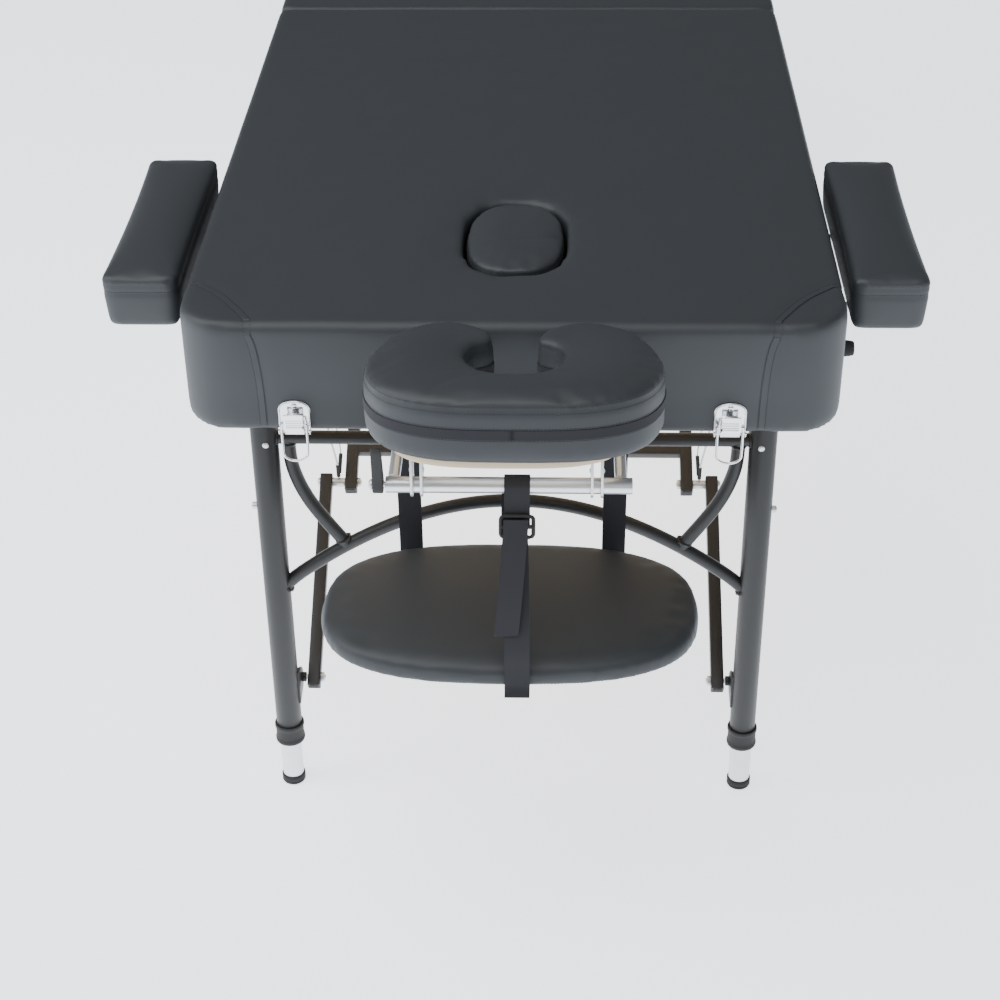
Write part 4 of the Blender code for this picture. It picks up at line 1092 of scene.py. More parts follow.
# ---- small cushions -------------------------------------------------------------------------------
def sew(obj, name, lines, rows, sizes, body, place):
    """Marks and presses a cushion's seams, then adds its stitches."""
    offset, near = mark_seams(obj, lines)
    press_seams(obj, offset, near, 0.0011, 0.0045)
    thread = stitches(f"{name}_stitches", obj, rows, sizes)
    finish_piece(thread, thread.name, "thread", body, place, sharp=180)


def make_plug(sizes):
    low, high = DECK_Z + 0.0008, TOP_Z + 0.001
    outline = superellipse(0.1085, 0.1685, (0, HOLE_Y), 2.6, 64)
    obj = slab(outline, low, high, 0.007, 3)
    obj = fill_out(obj, 0.0045, 5.0, 0.004,
                   lambda p: 1.0 if p.z < low + 0.004 or abs(p.z - high + 0.010) < 0.0035 else 0.0)
    points = coords(obj.data)
    for i, (x, y, z) in enumerate(points):
        if z > high - 0.012:
            crease = math.exp(-(((y - HOLE_Y + 0.02 - 0.25 * x) / 0.006) ** 2))
            points[i, 2] -= 0.0010 * crease * (0.4 + max(0.0, x) / 0.05)
            points[i, 2] += 0.0009 * noise.noise(Vector((x * 30, y * 22, 1)))
    set_coords(obj.data, points)
    upper = [(ring_at(inset(outline, -0.001), high - 0.008), True),
             (ring_at(inset(outline, -0.001), high - 0.020), True)]
    rows = [(upper[0][0], True, 0.003), (upper[0][0], True, -0.003)]
    sew(obj, "breath_plug", upper, rows, sizes, "breath_plug", HALF["head"])
    finish_piece(obj, "breath_plug_cushion", "vinyl", "breath_plug", HALF["head"], ["breath_plug"], sharp=60)


def make_cradle_cushion(sizes):
    outline = [(x + CUSHION_SHIFT, y) for x, y in horseshoe(CUSHION_KNOTS, 6)]
    low, high = CUSHION_LOW, CUSHION_TOP
    obj = slab(inset(outline, -0.0020), low - 0.0005, high, 0.008, 3)
    obj = fill_out(obj, sizes.cushion_voxel, 5.0, 0.010,
                   lambda p: 1.0 if p.z < low + 0.005 or abs(p.z - high + 0.013) < 0.004
                   or abs(p.z - 0.0795) < 0.004 else 0.0)
    edge = inset(outline, -0.002)
    top_seam, band_line = ring_at(edge, high - 0.011), ring_at(edge, 0.0795)
    right = max(outline)
    upright = [Vector((right[0] + 0.004, right[1], z)) for z in (high - 0.012, 0.10, 0.085, 0.07, 0.055)]
    seams = [(top_seam, True), (upright, False)]
    rows = [(top_seam, True, 0.0032), (top_seam, True, -0.0032), (band_line, True, 0.0062),
            (band_line, True, -0.0062), (upright, False, 0.0025)]
    band = face_out(band_on(surface(obj), even(band_line, 0.004, True), True, 0.0095, 0.0012, 0.0003))
    sew(obj, "cradle_cushion", seams, rows, sizes, "cradle_head", TILT)
    finish_piece(obj, "cradle_cushion_cover", "vinyl", "cradle_head", TILT, ["cradle_cushion"], sharp=60)
    finish_piece(band, "cradle_cushion_band", "webbing", "cradle_head", TILT, sharp=35)


def make_shelf(sizes):
    outline = superellipse(SHELF_SIZE[0] - 0.001, SHELF_SIZE[1] - 0.001, (0, SHELF_Y), 2.7, 96)
    obj = slab(outline, SHELF_LOW + 0.001, SHELF_TOP - 0.003, 0.010, 4)
    obj = fill_out(obj, 0.0055, 2.5, 0.0018, lambda p: 1.0 if p.z < SHELF_LOW + 0.006 else 0.0)
    lower = ring_at(inset(outline, 0.006), SHELF_LOW - 0.002)
    sew(obj, "arm_shelf", [(lower, True)], [(lower, True, 0.003)], sizes, "arm_shelf", HALF["head"])
    finish_piece(obj, "arm_shelf_pad", "vinyl", "arm_shelf", HALF["head"], ["arm_shelf"], sharp=60)


def make_armrests(sizes):
    x_low, x_high = ARMREST_X
    y_low, y_high = ARMREST_Y
    low, high = ARMREST_Z
    obj = slab(rounded(x_low - 0.001, x_high + 0.001, y_low - 0.003, y_high + 0.003, (0.012, 0.012)),
               low - 0.001, high + 0.002, 0.005, 2)
    obj = fill_out(obj, sizes.cushion_voxel, 5.0, 0.009,
                   lambda p: 1.0 if p.z < low + 0.005 or abs(p.z - high + 0.009) < 0.004 else 0.0)
    middle_x, middle_y = (x_low + x_high) / 2, (y_low + y_high) / 2
    points = coords(obj.data)
    for i, (x, y, z) in enumerate(points):
        along = (y - middle_y) / (y_high - y_low) * 2
        waist = 0.0025 * (1 - along * along) * min(1.0, (z - low) / 0.04)
        taper = 0.0040 * (high - z) / (high - low)
        points[i, 0] -= (x - middle_x) / (x_high - middle_x) * (waist + taper)
        points[i, 1] -= (y - middle_y) / (y_high - middle_y) * taper
    set_coords(obj.data, points)
    edge = rounded(x_low, x_high, y_low, y_high, (0.012, 0.012))
    seam = ring_at(edge, high - 0.008)
    second = ring_at(edge, high - 0.016)
    rows = [(seam, True, 0.0028), (second, True, 0.0)]
    offset, near = mark_seams(obj, [(seam, True), (second, True)])
    press_seams(obj, offset, near, 0.0011, 0.0045)
    thread = stitches("armrest_stitches", obj, rows, sizes)
    left, left_thread = mirrored(obj), mirrored(thread)
    for suffix, pad, rows_of in (("r", obj, thread), ("l", left, left_thread)):
        finish_piece(pad, f"armrest_cushion_{suffix}", "vinyl", f"armrest_{suffix}", HALF["head"],
                     [f"armrest_pad_{suffix}"], sharp=60)
        finish_piece(rows_of, f"armrest_stitches_{suffix}", "thread", f"armrest_{suffix}", HALF["head"],
                     sharp=180)


# ---- legs -----------------------------------------------------------------------------------------
def arch_height(x, leg_x):
    return ARCH_FOOT_Z + (ARCH_TOP_Z - ARCH_FOOT_Z) * max(0.0, math.cos(x / leg_x * math.pi / 2)) ** 0.85


BRACE_BEND = ((0.026, 0.0), (0.029, 0.040), (0.046, 0.085))
BRACE_REACH = 0.1865 - 0.27
AXLE_HALF = 0.334
EAR_PLATE = (0.0165, 0.0135)
LEG_BORE_R, LEG_BORE_TOP = 0.0135, 0.475
BUTTON_HOLE_R = 0.0044


def outer_leg(x, side):
    tube = rod((x, LEG_Y, LEG_BOTTOM), (x, LEG_Y, LEG_TOP), LEG_R, 40, bevel=0.0008)
    bore = rod((x, LEG_Y, LEG_BOTTOM - 0.02), (x, LEG_Y, LEG_BORE_TOP), LEG_BORE_R, 32)
    window = rod((x, LEG_Y, BUTTON_Z), (x + side * 0.02, LEG_Y, BUTTON_Z), BUTTON_HOLE_R, 16)
    cut(tube, bore, window)
    return tube


def leg_welds(leg_x, side, slope, end_x, bead):
    """The four beads at one leg: crossbar, arch, and the corner brace's two ends."""
    lean = (slope.x, 0, -slope.z if side > 0 else slope.z)
    places = (
        ((leg_x - LEG_R * 0.95, CROSSBAR_Z), (1, 0, 0), 1.0),
        ((leg_x - LEG_R * 0.8, ARCH_FOOT_Z + 0.010), lean, 1.05),
        ((leg_x - 0.0262, CROSSBAR_Z - BAR_R * 0.9), (0, 0, 1), 1.0),
        ((end_x + 0.004, arch_height(end_x, leg_x) + 0.008), (side * 0.35, 0, 0.9), 1.05),
    )
    return [weld((side * x, LEG_Y, z), way, BAR_R * share, bead) for (x, z), way, share in places]


def brace_ear(leg_x, side):
    """The pointed plate that holds the lower brace's bolt, with its spacer."""
    y, z = BRACE_LOW
    ear = [(LEG_Y - 0.004, z - 0.020), (y + 0.004, z - 0.016), (y + 0.010, z - 0.006), (y + 0.010, z + 0.004),
           (y + 0.002, z + 0.014), (LEG_Y + 0.006, z + 0.026), (LEG_Y - 0.004, z + 0.026)]
    x_low, x_high = sorted(side * (leg_x - inside) for inside in EAR_PLATE)
    spacer = rod((side * (leg_x - 0.0215), y, z), (side * (leg_x - 0.0160), y, z), 0.0058, 20, bevel=0.0006)
    return [slab(ear, x_low, x_high, 0.0006, 2, SIDEWAYS), spacer]


def make_leg_frame(prefix, sizes):
    leg_x = LEG_X[prefix]
    end_x = leg_x + BRACE_REACH
    arch = [(leg_x * t, LEG_Y, arch_height(leg_x * t, leg_x)) for t in np.linspace(-1, 1, 25)]
    slope = Vector(arch[1]) - Vector(arch[0])
    parts = [rod((-leg_x, LEG_Y, CROSSBAR_Z), (leg_x, LEG_Y, CROSSBAR_Z), BAR_R, 20),
             pipe(arch, BAR_R, resolution=6, steps=3),
             rod((-AXLE_HALF, LEG_Y, AXLE_Z), (AXLE_HALF, LEG_Y, AXLE_Z), AXLE_R, 16)]
    bolts = []
    for side in (-1, 1):
        x = side * leg_x
        knots = [(side * (leg_x - inside), LEG_Y, CROSSBAR_Z - drop) for inside, drop in BRACE_BEND]
        knots.append((side * end_x, LEG_Y, arch_height(end_x, leg_x)))
        parts += [outer_leg(x, side), pipe(knots, BAR_R, resolution=6, steps=6)]
        parts += leg_welds(leg_x, side, slope, end_x, sizes.weld)
        parts += brace_ear(leg_x, side)
        crossbar_bolt = (x - side * LEG_R * 0.2, LEG_Y - LEG_R * 0.97, CROSSBAR_Z - 0.0020)
        bolts += [dome((side * (leg_x - EAR_PLATE[1]), *BRACE_LOW), (side, 0, 0), 0.0050, 0.0030),
                  dome(crossbar_bolt, (0, -1, 0), 0.0036, 0.0016)]
    body = f"{prefix}_legs"
    finish_piece(join("frame", parts), f"{prefix}_leg_tubes", "black_steel", body, HALF[prefix],
                 [f"{prefix}_leg_frame"])
    finish_piece(join("bolts", bolts), f"{prefix}_leg_bolts", "zinc", body, HALF[prefix], sharp=35)


def make_telescope(prefix, suffix):
    """The inner leg with its row of holes, its foot cap, its collar and its spring button."""
    side = -1 if suffix == "a" else 1
    x = side * LEG_X[prefix]
    name, turn = f"{prefix}_{suffix}", HALF[prefix]
    leg_body = f"{prefix}_inner_leg_{suffix}"
    wall = [(0.0125, 0.0034), (0.0125, 0.449), (0.0122, 0.4498), (0.0113, 0.4498), (0.0110, 0.449),
            (0.0110, 0.0034), (0.0125, 0.0034)]
    tube = lathe(wall, Matrix.Translation((x, LEG_Y, 0)), 40)
    drill = join("drill", [rod((x, LEG_Y, z), (x + side * 0.02, LEG_Y, z), 0.0042, 14)
                           for z in np.arange(BUTTON_Z - 0.25, BUTTON_Z + 0.001, 0.025)])
    cut(tube, drill)
    finish_piece(tube, f"{name}_leg_tube", "aluminium", leg_body, turn, [f"{name}_inner_leg"])
    cap = [(0, 0), (0.0120, 0), (0.0132, 0.0006), (0.0140, 0.0022), (0.0140, 0.0042), (0.0136, 0.0048),
           (0.0140, 0.0054), (0.0140, 0.0104), (0.0135, 0.0117), (0.0128, 0.0120), (0.0127, 0.0032),
           (0, 0.0032)]
    finish_piece(lathe(cap, Matrix.Translation((x, LEG_Y, 0)), 40), f"{name}_foot", "rubber", leg_body,
                 turn, [f"{name}_foot_cap"])
    ring = [(0.0128, 0.0640), (0.0158, 0.0640), (0.0170, 0.0648), (0.0175, 0.0665), (0.0175, 0.0690),
            (0.0168, 0.0702), (0.0165, 0.0720), (0.0165, 0.0835), (0.0168, 0.0850), (0.0175, 0.0862),
            (0.0175, 0.0888), (0.0170, 0.0902), (0.0160, 0.0905), (0.0153, 0.0905), (0.0153, 0.0753),
            (0.0128, 0.0753), (0.0128, 0.0640)]
    finish_piece(lathe(ring, Matrix.Translation((x, LEG_Y, 0)), 48), f"{name}_sleeve", "black_plastic",
                 f"{prefix}_legs", turn, [f"{name}_collar"])
    stud = [(0, 0), (0.0040, 0), (0.0040, 0.0050), (0.0037, 0.0058), (0.0028, 0.0065), (0.0014, 0.0069),
            (0, 0.0070)]
    start = (x + side * 0.0138, LEG_Y, BUTTON_Z)
    finish_piece(lathe(stud, aim(start, (side, 0, 0)), 24), f"{name}_spring_button", "zinc",
                 f"{prefix}_button_{suffix}", turn, [f"{name}_button"])


# ---- folding braces -------------------------------------------------------------------------------
def make_strut(prefix, suffix):
    side = -1 if suffix == "a" else 1
    x = side * (LEG_X[prefix] - STRUT_INSET)
    half = BRACE_BAR / 2
    tube, plugs = square_tube(x, BRACE_LOW, ELBOW, 0.012, 0.009)
    y, z = BRACE_LOW
    ey, ez = ELBOW
    arm_face = side * (LEG_X[prefix] - ARM_INSET + half)
    metal = [rod((x - side * (half + 0.004), y, z), (x + side * (half + 0.008), y, z), 0.003, 14),
             hex_nut((x - side * half, y, z), (-side, 0, 0), 0.0060, 0.0045),
             dome((x - side * (half + 0.0045), y, z), (-side, 0, 0), 0.0034, 0.0018),
             dome((x + side * half, ey, ez), (side, 0, 0), 0.0060, 0.0038),
             rod((arm_face, ey, ez), (x - side * half, ey, ez), 0.0055, 20, bevel=0.0006)]
    body, turn = f"{prefix}_strut_{suffix}", HALF[prefix]
    finish_piece(tube, f"{prefix}_strut_tube_{suffix}", "black_steel", body, turn,
                 [f"{prefix}_strut_{suffix}"])
    finish_piece(join("bolts", metal), f"{prefix}_strut_bolts_{suffix}", "zinc", body, turn, sharp=35)
    finish_piece(join("plugs", plugs), f"{prefix}_strut_plugs_{suffix}", "black_plastic", body, turn,
                 sharp=35)


def make_arms(prefix):
    arm_x = LEG_X[prefix] - ARM_INSET
    along = (BRACE_TOP - ELBOW).normalized()
    tie = ELBOW + along * 0.046
    tubes, plugs, metal, brass = [], [], [], []
    for side in (-1, 1):
        x = side * arm_x
        tube, ends = square_tube(x, ELBOW, BRACE_TOP, 0.012, 0.008)
        tubes.append(tube)
        plugs += ends
        inner = x - side * BRACE_BAR / 2
        metal.append(hex_nut((inner, *ELBOW), (-side, 0, 0), 0.0058, 0.0042))
        brass.append(dome((inner - side * 0.0042, *ELBOW), (-side, 0, 0), 0.0032, 0.0014))
    cross = rounded(-0.0069, 0.0069, -0.0069, 0.0069, (0.0016, 0.0016), 3)
    across = Matrix.Translation((-arm_x, *tie)) @ Matrix(
        ((0, 0, 1), (along.x, -along.y, 0), (along.y, along.x, 0))).to_4x4()
    tubes.append(slab(cross, 0, 2 * arm_x, 0.0003, 1, across))
    tubes.append(rod((-AXLE_HALF, *BRACE_TOP), (AXLE_HALF, *BRACE_TOP), AXLE_R, 16))
    body, turn = f"{prefix}_arms", HALF[prefix]
    finish_piece(join("arms", tubes), f"{prefix}_arm_tubes", "black_steel", body, turn,
                 [f"{prefix}_brace_arms"])
    finish_piece(join("plugs", plugs), f"{prefix}_arm_plugs", "black_plastic", body, turn, sharp=35)
    finish_piece(join("nuts", metal), f"{prefix}_arm_nuts", "zinc", body, turn, sharp=35)
    finish_piece(join("inserts", brass), f"{prefix}_arm_nut_inserts", "brass", body, turn, sharp=35)


def make_cables(prefix, suffix):
    """The stay from the elbow to the side rail, with its crimped sleeves and a slack second line."""
    side = -1 if suffix == "a" else 1
    x = side * (LEG_X[prefix] - (STRUT_INSET + ARM_INSET) / 2)
    end_x = side * (HALF_WIDTH - 0.026)
    y, z = ELBOW
    stay = [(x, y, z + 0.0062), (x, y, z + 0.022), (x + side * 0.006, y, 0.330),
            (x + side * 0.026, y + 0.001, 0.420),
            (end_x - side * 0.006, y + 0.002, 0.500), (end_x, y + 0.002, 0.545)]
    slack = [(x, y + 0.004, z + 0.0062), (x - side * 0.003, y + 0.012, z + 0.030),
             (x + side * 0.002, y + 0.020, 0.345),
             (x + side * 0.016, y + 0.018, 0.425), (end_x - side * 0.012, y + 0.010, 0.500),
             (end_x - side * 0.001, y + 0.008, 0.545)]
    wires = join("wires", [pipe(stay, 0.00125, resolution=3, steps=8),
                           pipe(slack, 0.0009, resolution=3, steps=8)])
    sleeves = []
    for line in (stay, slack):
        path = through(line, 8)
        for a, b in ((path[2], path[9]), (path[-9], path[-2])):
            sleeves.append(rod(a, b, 0.0024, 16, bevel=0.0004))
    sleeves = join("sleeves", sleeves)
    turn = HALF[prefix]
    ends = [turn @ Vector(stay[0]), turn @ Vector(stay[-1])]
    bodies = (f"{prefix}_arms", f"{prefix}_half", *ends)
    finish_piece(wires, f"{prefix}_stay_{suffix}", "cable", bodies, turn, [f"{prefix}_cable_{suffix}"])
    finish_piece(sleeves, f"{prefix}_stay_sleeves_{suffix}", "black_plastic", bodies, turn)


# ---- fittings -------------------------------------------------------------------------------------
def even_outline(outline, pitch=0.0015):
    return [tuple(p) for p in even([Vector(p) for p in outline], pitch, True)]


PLATE_HALF, PLATE_LOW, PLATE_HIGH = 0.017, 0.521, 0.560
BAIL_LOW, BAIL_HALF = 0.4908, 0.013


def make_latch_plate(x, suffix):
    plate = [(x - PLATE_HALF, PLATE_LOW), (x + PLATE_HALF, PLATE_LOW)]
    plate += [(x + PLATE_HALF * math.cos(a), PLATE_HIGH - 0.012 + 0.012 * math.sin(a) ** 0.9)
              for a in np.linspace(0, math.pi, 25)]
    rim_line = [(px, -0.0018, pz) for px, pz in even_outline(inset(plate, 0.0012))]
    parts = [slab(plate, 0.0003, 0.0016, 0.0003, 2, UPRIGHT), pipe(rim_line, 0.0009, True, 3, smooth=False)]
    ear = [(-0.0012, LEVER_Z - 0.0040), (-0.0070, LEVER_Z - 0.0038), (-0.0090, LEVER_Z - 0.0015),
           (-0.0092, LEVER_Z + 0.0015), (-0.0078, LEVER_Z + 0.0040), (-0.0012, LEVER_Z + 0.0060)]
    for side in (-1, 1):
        x_low, x_high = sorted((x + side * 0.0153, x + side * 0.0168))
        parts.append(slab(ear, x_low, x_high, 0.0003, 2, SIDEWAYS))
    parts += [dome((x, -0.0016, PLATE_HIGH - 0.0062), (0, -1, 0), 0.0034, 0.0018, 24),
              dome((x, -0.0016, PLATE_LOW + 0.0032), (0, -1, 0), 0.0022, 0.0010, 20)]
    finish_piece(join("base", parts), f"latch_plate_{suffix}", "chrome", "head_half", HALF["head"],
                 [f"latch_base_{suffix}"])


def make_latch_lever(x, suffix):
    arch = [(-0.0042, 0.0020), (-0.0030, -0.0010), (-0.0052, -0.0036), (-0.0086, -0.0028), (-0.0098, 0.0012),
            (-0.0118, 0.0040), (-0.0124, 0.0100), (-0.0123, 0.0190), (-0.0128, 0.0228), (-0.0118, 0.0236),
            (-0.0108, 0.0200), (-0.0106, 0.0136), (-0.0046, 0.0130)]
    arch = [(y, LEVER_Z + rise) for y, rise in arch]
    parts = [slab(arch, x - 0.0105, x + 0.0105, 0.0005, 2, SIDEWAYS),
             rod((x - 0.0175, LATCH_LINE, LEVER_Z), (x + 0.0175, LATCH_LINE, LEVER_Z), 0.0014, 14,
                 bevel=0.0003)]
    parts += [rod((x - 0.0085, -0.0124, LEVER_Z + rise), (x + 0.0085, -0.0124, LEVER_Z + rise), 0.0007, 10)
              for rise in (0.0075, 0.0102, 0.0129, 0.0156)]
    finish_piece(join("lever", parts), f"latch_grip_{suffix}", "chrome", f"latch_lever_{suffix}",
                 HALF["head"],
                 [f"latch_lever_{suffix}"])


def make_latch_bail(x, suffix):
    """The oval wire that hangs from the lever and catches the keeper."""
    reach, middle, round_z = BAIL_HALF, (BAIL_Z + BAIL_LOW) / 2, BAIL_LOW + 0.009
    loop = [(-reach, BAIL_Z - 0.003), (-reach + 0.002, BAIL_Z), (0, BAIL_Z), (reach - 0.002, BAIL_Z),
            (reach, BAIL_Z - 0.003), (reach * 1.02, middle), (reach, round_z)]
    loop += [(reach * math.cos(a), round_z - 0.009 * math.sin(a)) for a in np.linspace(0.45, math.pi - 0.45,
                                                                                       7)]
    loop += [(-reach, round_z), (-reach * 1.02, middle)]
    bail = pipe([(x + px, BAIL_LINE, pz) for px, pz in loop], 0.0013, True, 4, 5)
    finish_piece(bail, f"latch_wire_{suffix}", "chrome", f"latch_bail_{suffix}", HALF["head"],
                 [f"latch_bail_{suffix}"], sharp=180)


def make_latch(suffix):
    x = -LATCH_X if suffix == "l" else LATCH_X
    for maker in (make_latch_plate, make_latch_lever, make_latch_bail):
        maker(x, suffix)


def make_bumpers(prefix):
    side = 1 if prefix == "head" else -1
    for number, y in enumerate((0.090, 0.840)):
        foot = [(0, 0), (0.0100, 0), (0.0100, 0.0030), (0.0092, 0.0038), (0.0086, 0.0100), (0.0078, 0.0140),
                (0.0070, 0.0150), (0.0040, 0.0150), (0.0036, 0.0120), (0, 0.0120)]
        obj = lathe(foot, aim((side * (HALF_WIDTH + 0.0003), y, 0.575), (side, 0, 0)), 28)
        finish_piece(obj, f"{prefix}_rubber_foot_{number + 1}", "rubber", f"{prefix}_half", HALF[prefix],
                     [f"{prefix}_bumper_{number + 1}"])


def make_handle(prefix):
    """A webbing loop with a rolled grip, hung from a screwed plate at each end."""
    side = -1 if prefix == "head" else 1
    x = side * (HALF_WIDTH + 0.0032)
    outer = 0.075 - 0.011
    path = [(x, HANDLE_Y - outer, HANDLE_TOP - 0.001), (x, HANDLE_Y - outer, 0.560),
            (x, HANDLE_Y - outer + 0.001, 0.545),
            (x, HANDLE_Y - outer + 0.008, 0.533), (x, HANDLE_Y - outer + 0.022, 0.5292),
            (x, HANDLE_Y + outer - 0.022, 0.5292), (x, HANDLE_Y + outer - 0.008, 0.533),
            (x, HANDLE_Y + outer - 0.001, 0.545), (x, HANDLE_Y + outer, 0.560),
            (x, HANDLE_Y + outer, HANDLE_TOP - 0.001)]
    path = even(through(path, 6), 0.003)
    out = Vector((1, 0, 0))
    sides = [out.cross(d).normalized() for d in directions(path)]
    strap = ribbon(path, 0.021, 0.0018, sides, 6)
    grip = ribbon(even([Vector((x, HANDLE_Y - 0.036, 0.5292)), Vector((x, HANDLE_Y + 0.036, 0.5292))], 0.004),
                  0.0215, 0.0036, Vector((0, 0, 1)), 6)
    round_edges(grip, 0.0008, 2, 50)
    body, turn = f"{prefix}_handle", HALF[prefix]
    finish_piece(join("handle", [strap, grip]), f"{prefix}_carry_handle", "webbing", body, turn,
                 [f"{prefix}_handle"])
    metal = []
    for y in (HANDLE_Y - outer, HANDLE_Y + outer):
        plate = rounded(y - 0.010, y + 0.010, HANDLE_TOP - 0.013, HANDLE_TOP - 0.001, (0.002, 0.002), 3)
        metal.append(slab(plate, *sorted((x + side * 0.0009, x + side * 0.0021)), 0.0003, 2, SIDEWAYS))
        metal.append(dome((x + side * 0.0021, y, HANDLE_TOP - 0.007), (side, 0, 0), 0.0038, 0.0016))
    finish_piece(join("plates", metal), f"{prefix}_handle_plates", "zinc", body, turn, sharp=35)


# ---- face cradle ----------------------------------------------------------------------------------
def make_cradle_tubes():
    parts = [rod((-0.117, CRADLE_Y, SOCKET_Z), (0.121, CRADLE_Y, SOCKET_Z), 0.008, 32, bevel=0.0006),
             rod((-0.1325, CRADLE_Y, SOCKET_Z), (-0.1145, CRADLE_Y, SOCKET_Z), 0.003, 16)]
    for x in (-SOCKET_X, SOCKET_X):
        parts.append(rod((x, CRADLE_Y + 0.004, SOCKET_Z), (x, 0.105, SOCKET_Z), 0.006, 28, bevel=0.0006))
        parts.append(weld((x, CRADLE_Y + 0.0075, SOCKET_Z), (0, 1, 0), 0.0062, 0.0011))
    finish_piece(join("tubes", parts), "cradle_tubes", "aluminium", "cradle_mount", HALF["head"],
                 ["cradle_frame"])
    rings = [lathe([(0.0062, 0), (0.0092, 0), (0.0098, 0.0008), (0.0098, 0.0024), (0.0062, 0.0024),
                    (0.0062, 0)],
                   aim((x, -0.0032, SOCKET_Z), (0, 1, 0)), 28) for x in (-SOCKET_X, SOCKET_X)]
    finish_piece(join("rings", rings), "cradle_socket_rings", "black_plastic", "head_half", HALF["head"],
                 sharp=35)


def make_cradle_bracket():
    top = PLATFORM_LOW - 0.0003
    strap = slab(rounded(-0.0988, 0.0988, -0.016, 0.014, (0.004, 0.004)), top - 0.0025, top, 0.0004, 2)
    parts, plates = [strap], []
    for centre in (-0.0868, 0.0868):
        for shift in (-0.0048, 0.0048):
            x = centre + shift
            outline = [(-0.0115, top - 0.001), (-0.0115, 0.0)]
            outline += [(0.0115 * -math.cos(a),
                         -0.0115 * math.sin(a)) for a in np.linspace(0.2, math.pi - 0.2, 13)]
            outline += [(0.0115, 0.0), (0.0115, top - 0.001)]
            plates.append(slab(outline, x - 0.00125, x + 0.00125, 0.0003, 2, SIDEWAYS))
        parts += [dome((centre - 0.0061, 0.0, 0.016), (-1, 0, 0), 0.0026, 0.0014),
                  dome((centre + 0.0061, 0.0, 0.016), (1, 0, 0), 0.0026, 0.0014)]
        parts += [dome((centre + dx, dy, top - 0.0025), (0, 0, -1), 0.0034, 0.0014)
                  for dx, dy in ((-0.020, -0.001), (0.020, -0.001)) if abs(centre + dx) < 0.094]
    bore = rod((-0.12, 0, 0), (0.12, 0, 0), 0.0083, 28)
    finish_piece(cut(join("plates", plates), bore), "cradle_hinge_plates", "zinc", "cradle_head", TILT,
                 ["cradle_bracket"])
    finish_piece(join("strap", parts), "cradle_strap_plate", "zinc", "cradle_head", TILT, sharp=35)


def make_cradle_platform():
    board = slab(horseshoe(PLATFORM_KNOTS, 8), PLATFORM_LOW, PLATFORM_LOW + PLATFORM_THICK, 0.0012, 3)
    layer = board.data.attributes.new("ply", "FLOAT", "POINT")
    layer.data.foreach_set("value", [(v.co.z - PLATFORM_LOW) / PLATFORM_THICK for v in board.data.vertices])
    finish_piece(board, "cradle_board", "plywood", "cradle_head", TILT, ["cradle_platform"])


def make_cradle_lever():
    x = -0.1245
    blade = [(-0.0085, -0.001), (-0.0080, 0.010), (-0.0088, 0.024), (-0.0098, 0.038), (-0.0092, 0.0432),
             (-0.0072, 0.0452), (-0.0050, 0.0440), (-0.0036, 0.0380), (0.0010, 0.024), (0.0060, 0.010),
             (0.0085, 0.001),
             (0.0080, -0.0035), (0.0052, -0.0070), (0.0, -0.0086), (-0.0052, -0.0070), (-0.0078, -0.0040)]
    place = Matrix.Translation((0, CRADLE_Y, SOCKET_Z)) @ SIDEWAYS
    handle = slab([tuple(p) for p in through(blade, 3, True)], x - 0.0052, x + 0.0052, 0.0012, 3, place)
    cut(handle, rod((x - 0.02, CRADLE_Y, SOCKET_Z), (x + 0.02, CRADLE_Y, SOCKET_Z), 0.0034, 20))
    finish_piece(handle, "cradle_cam_lever", "black_plastic", "cradle_lever", HALF["head"], ["cradle_lever"])
    nut = dome((x - 0.0060, CRADLE_Y, SOCKET_Z), (-1, 0, 0), 0.0052, 0.0034)
    finish_piece(nut, "cradle_lever_nut", "zinc", "cradle_mount", HALF["head"], sharp=35)


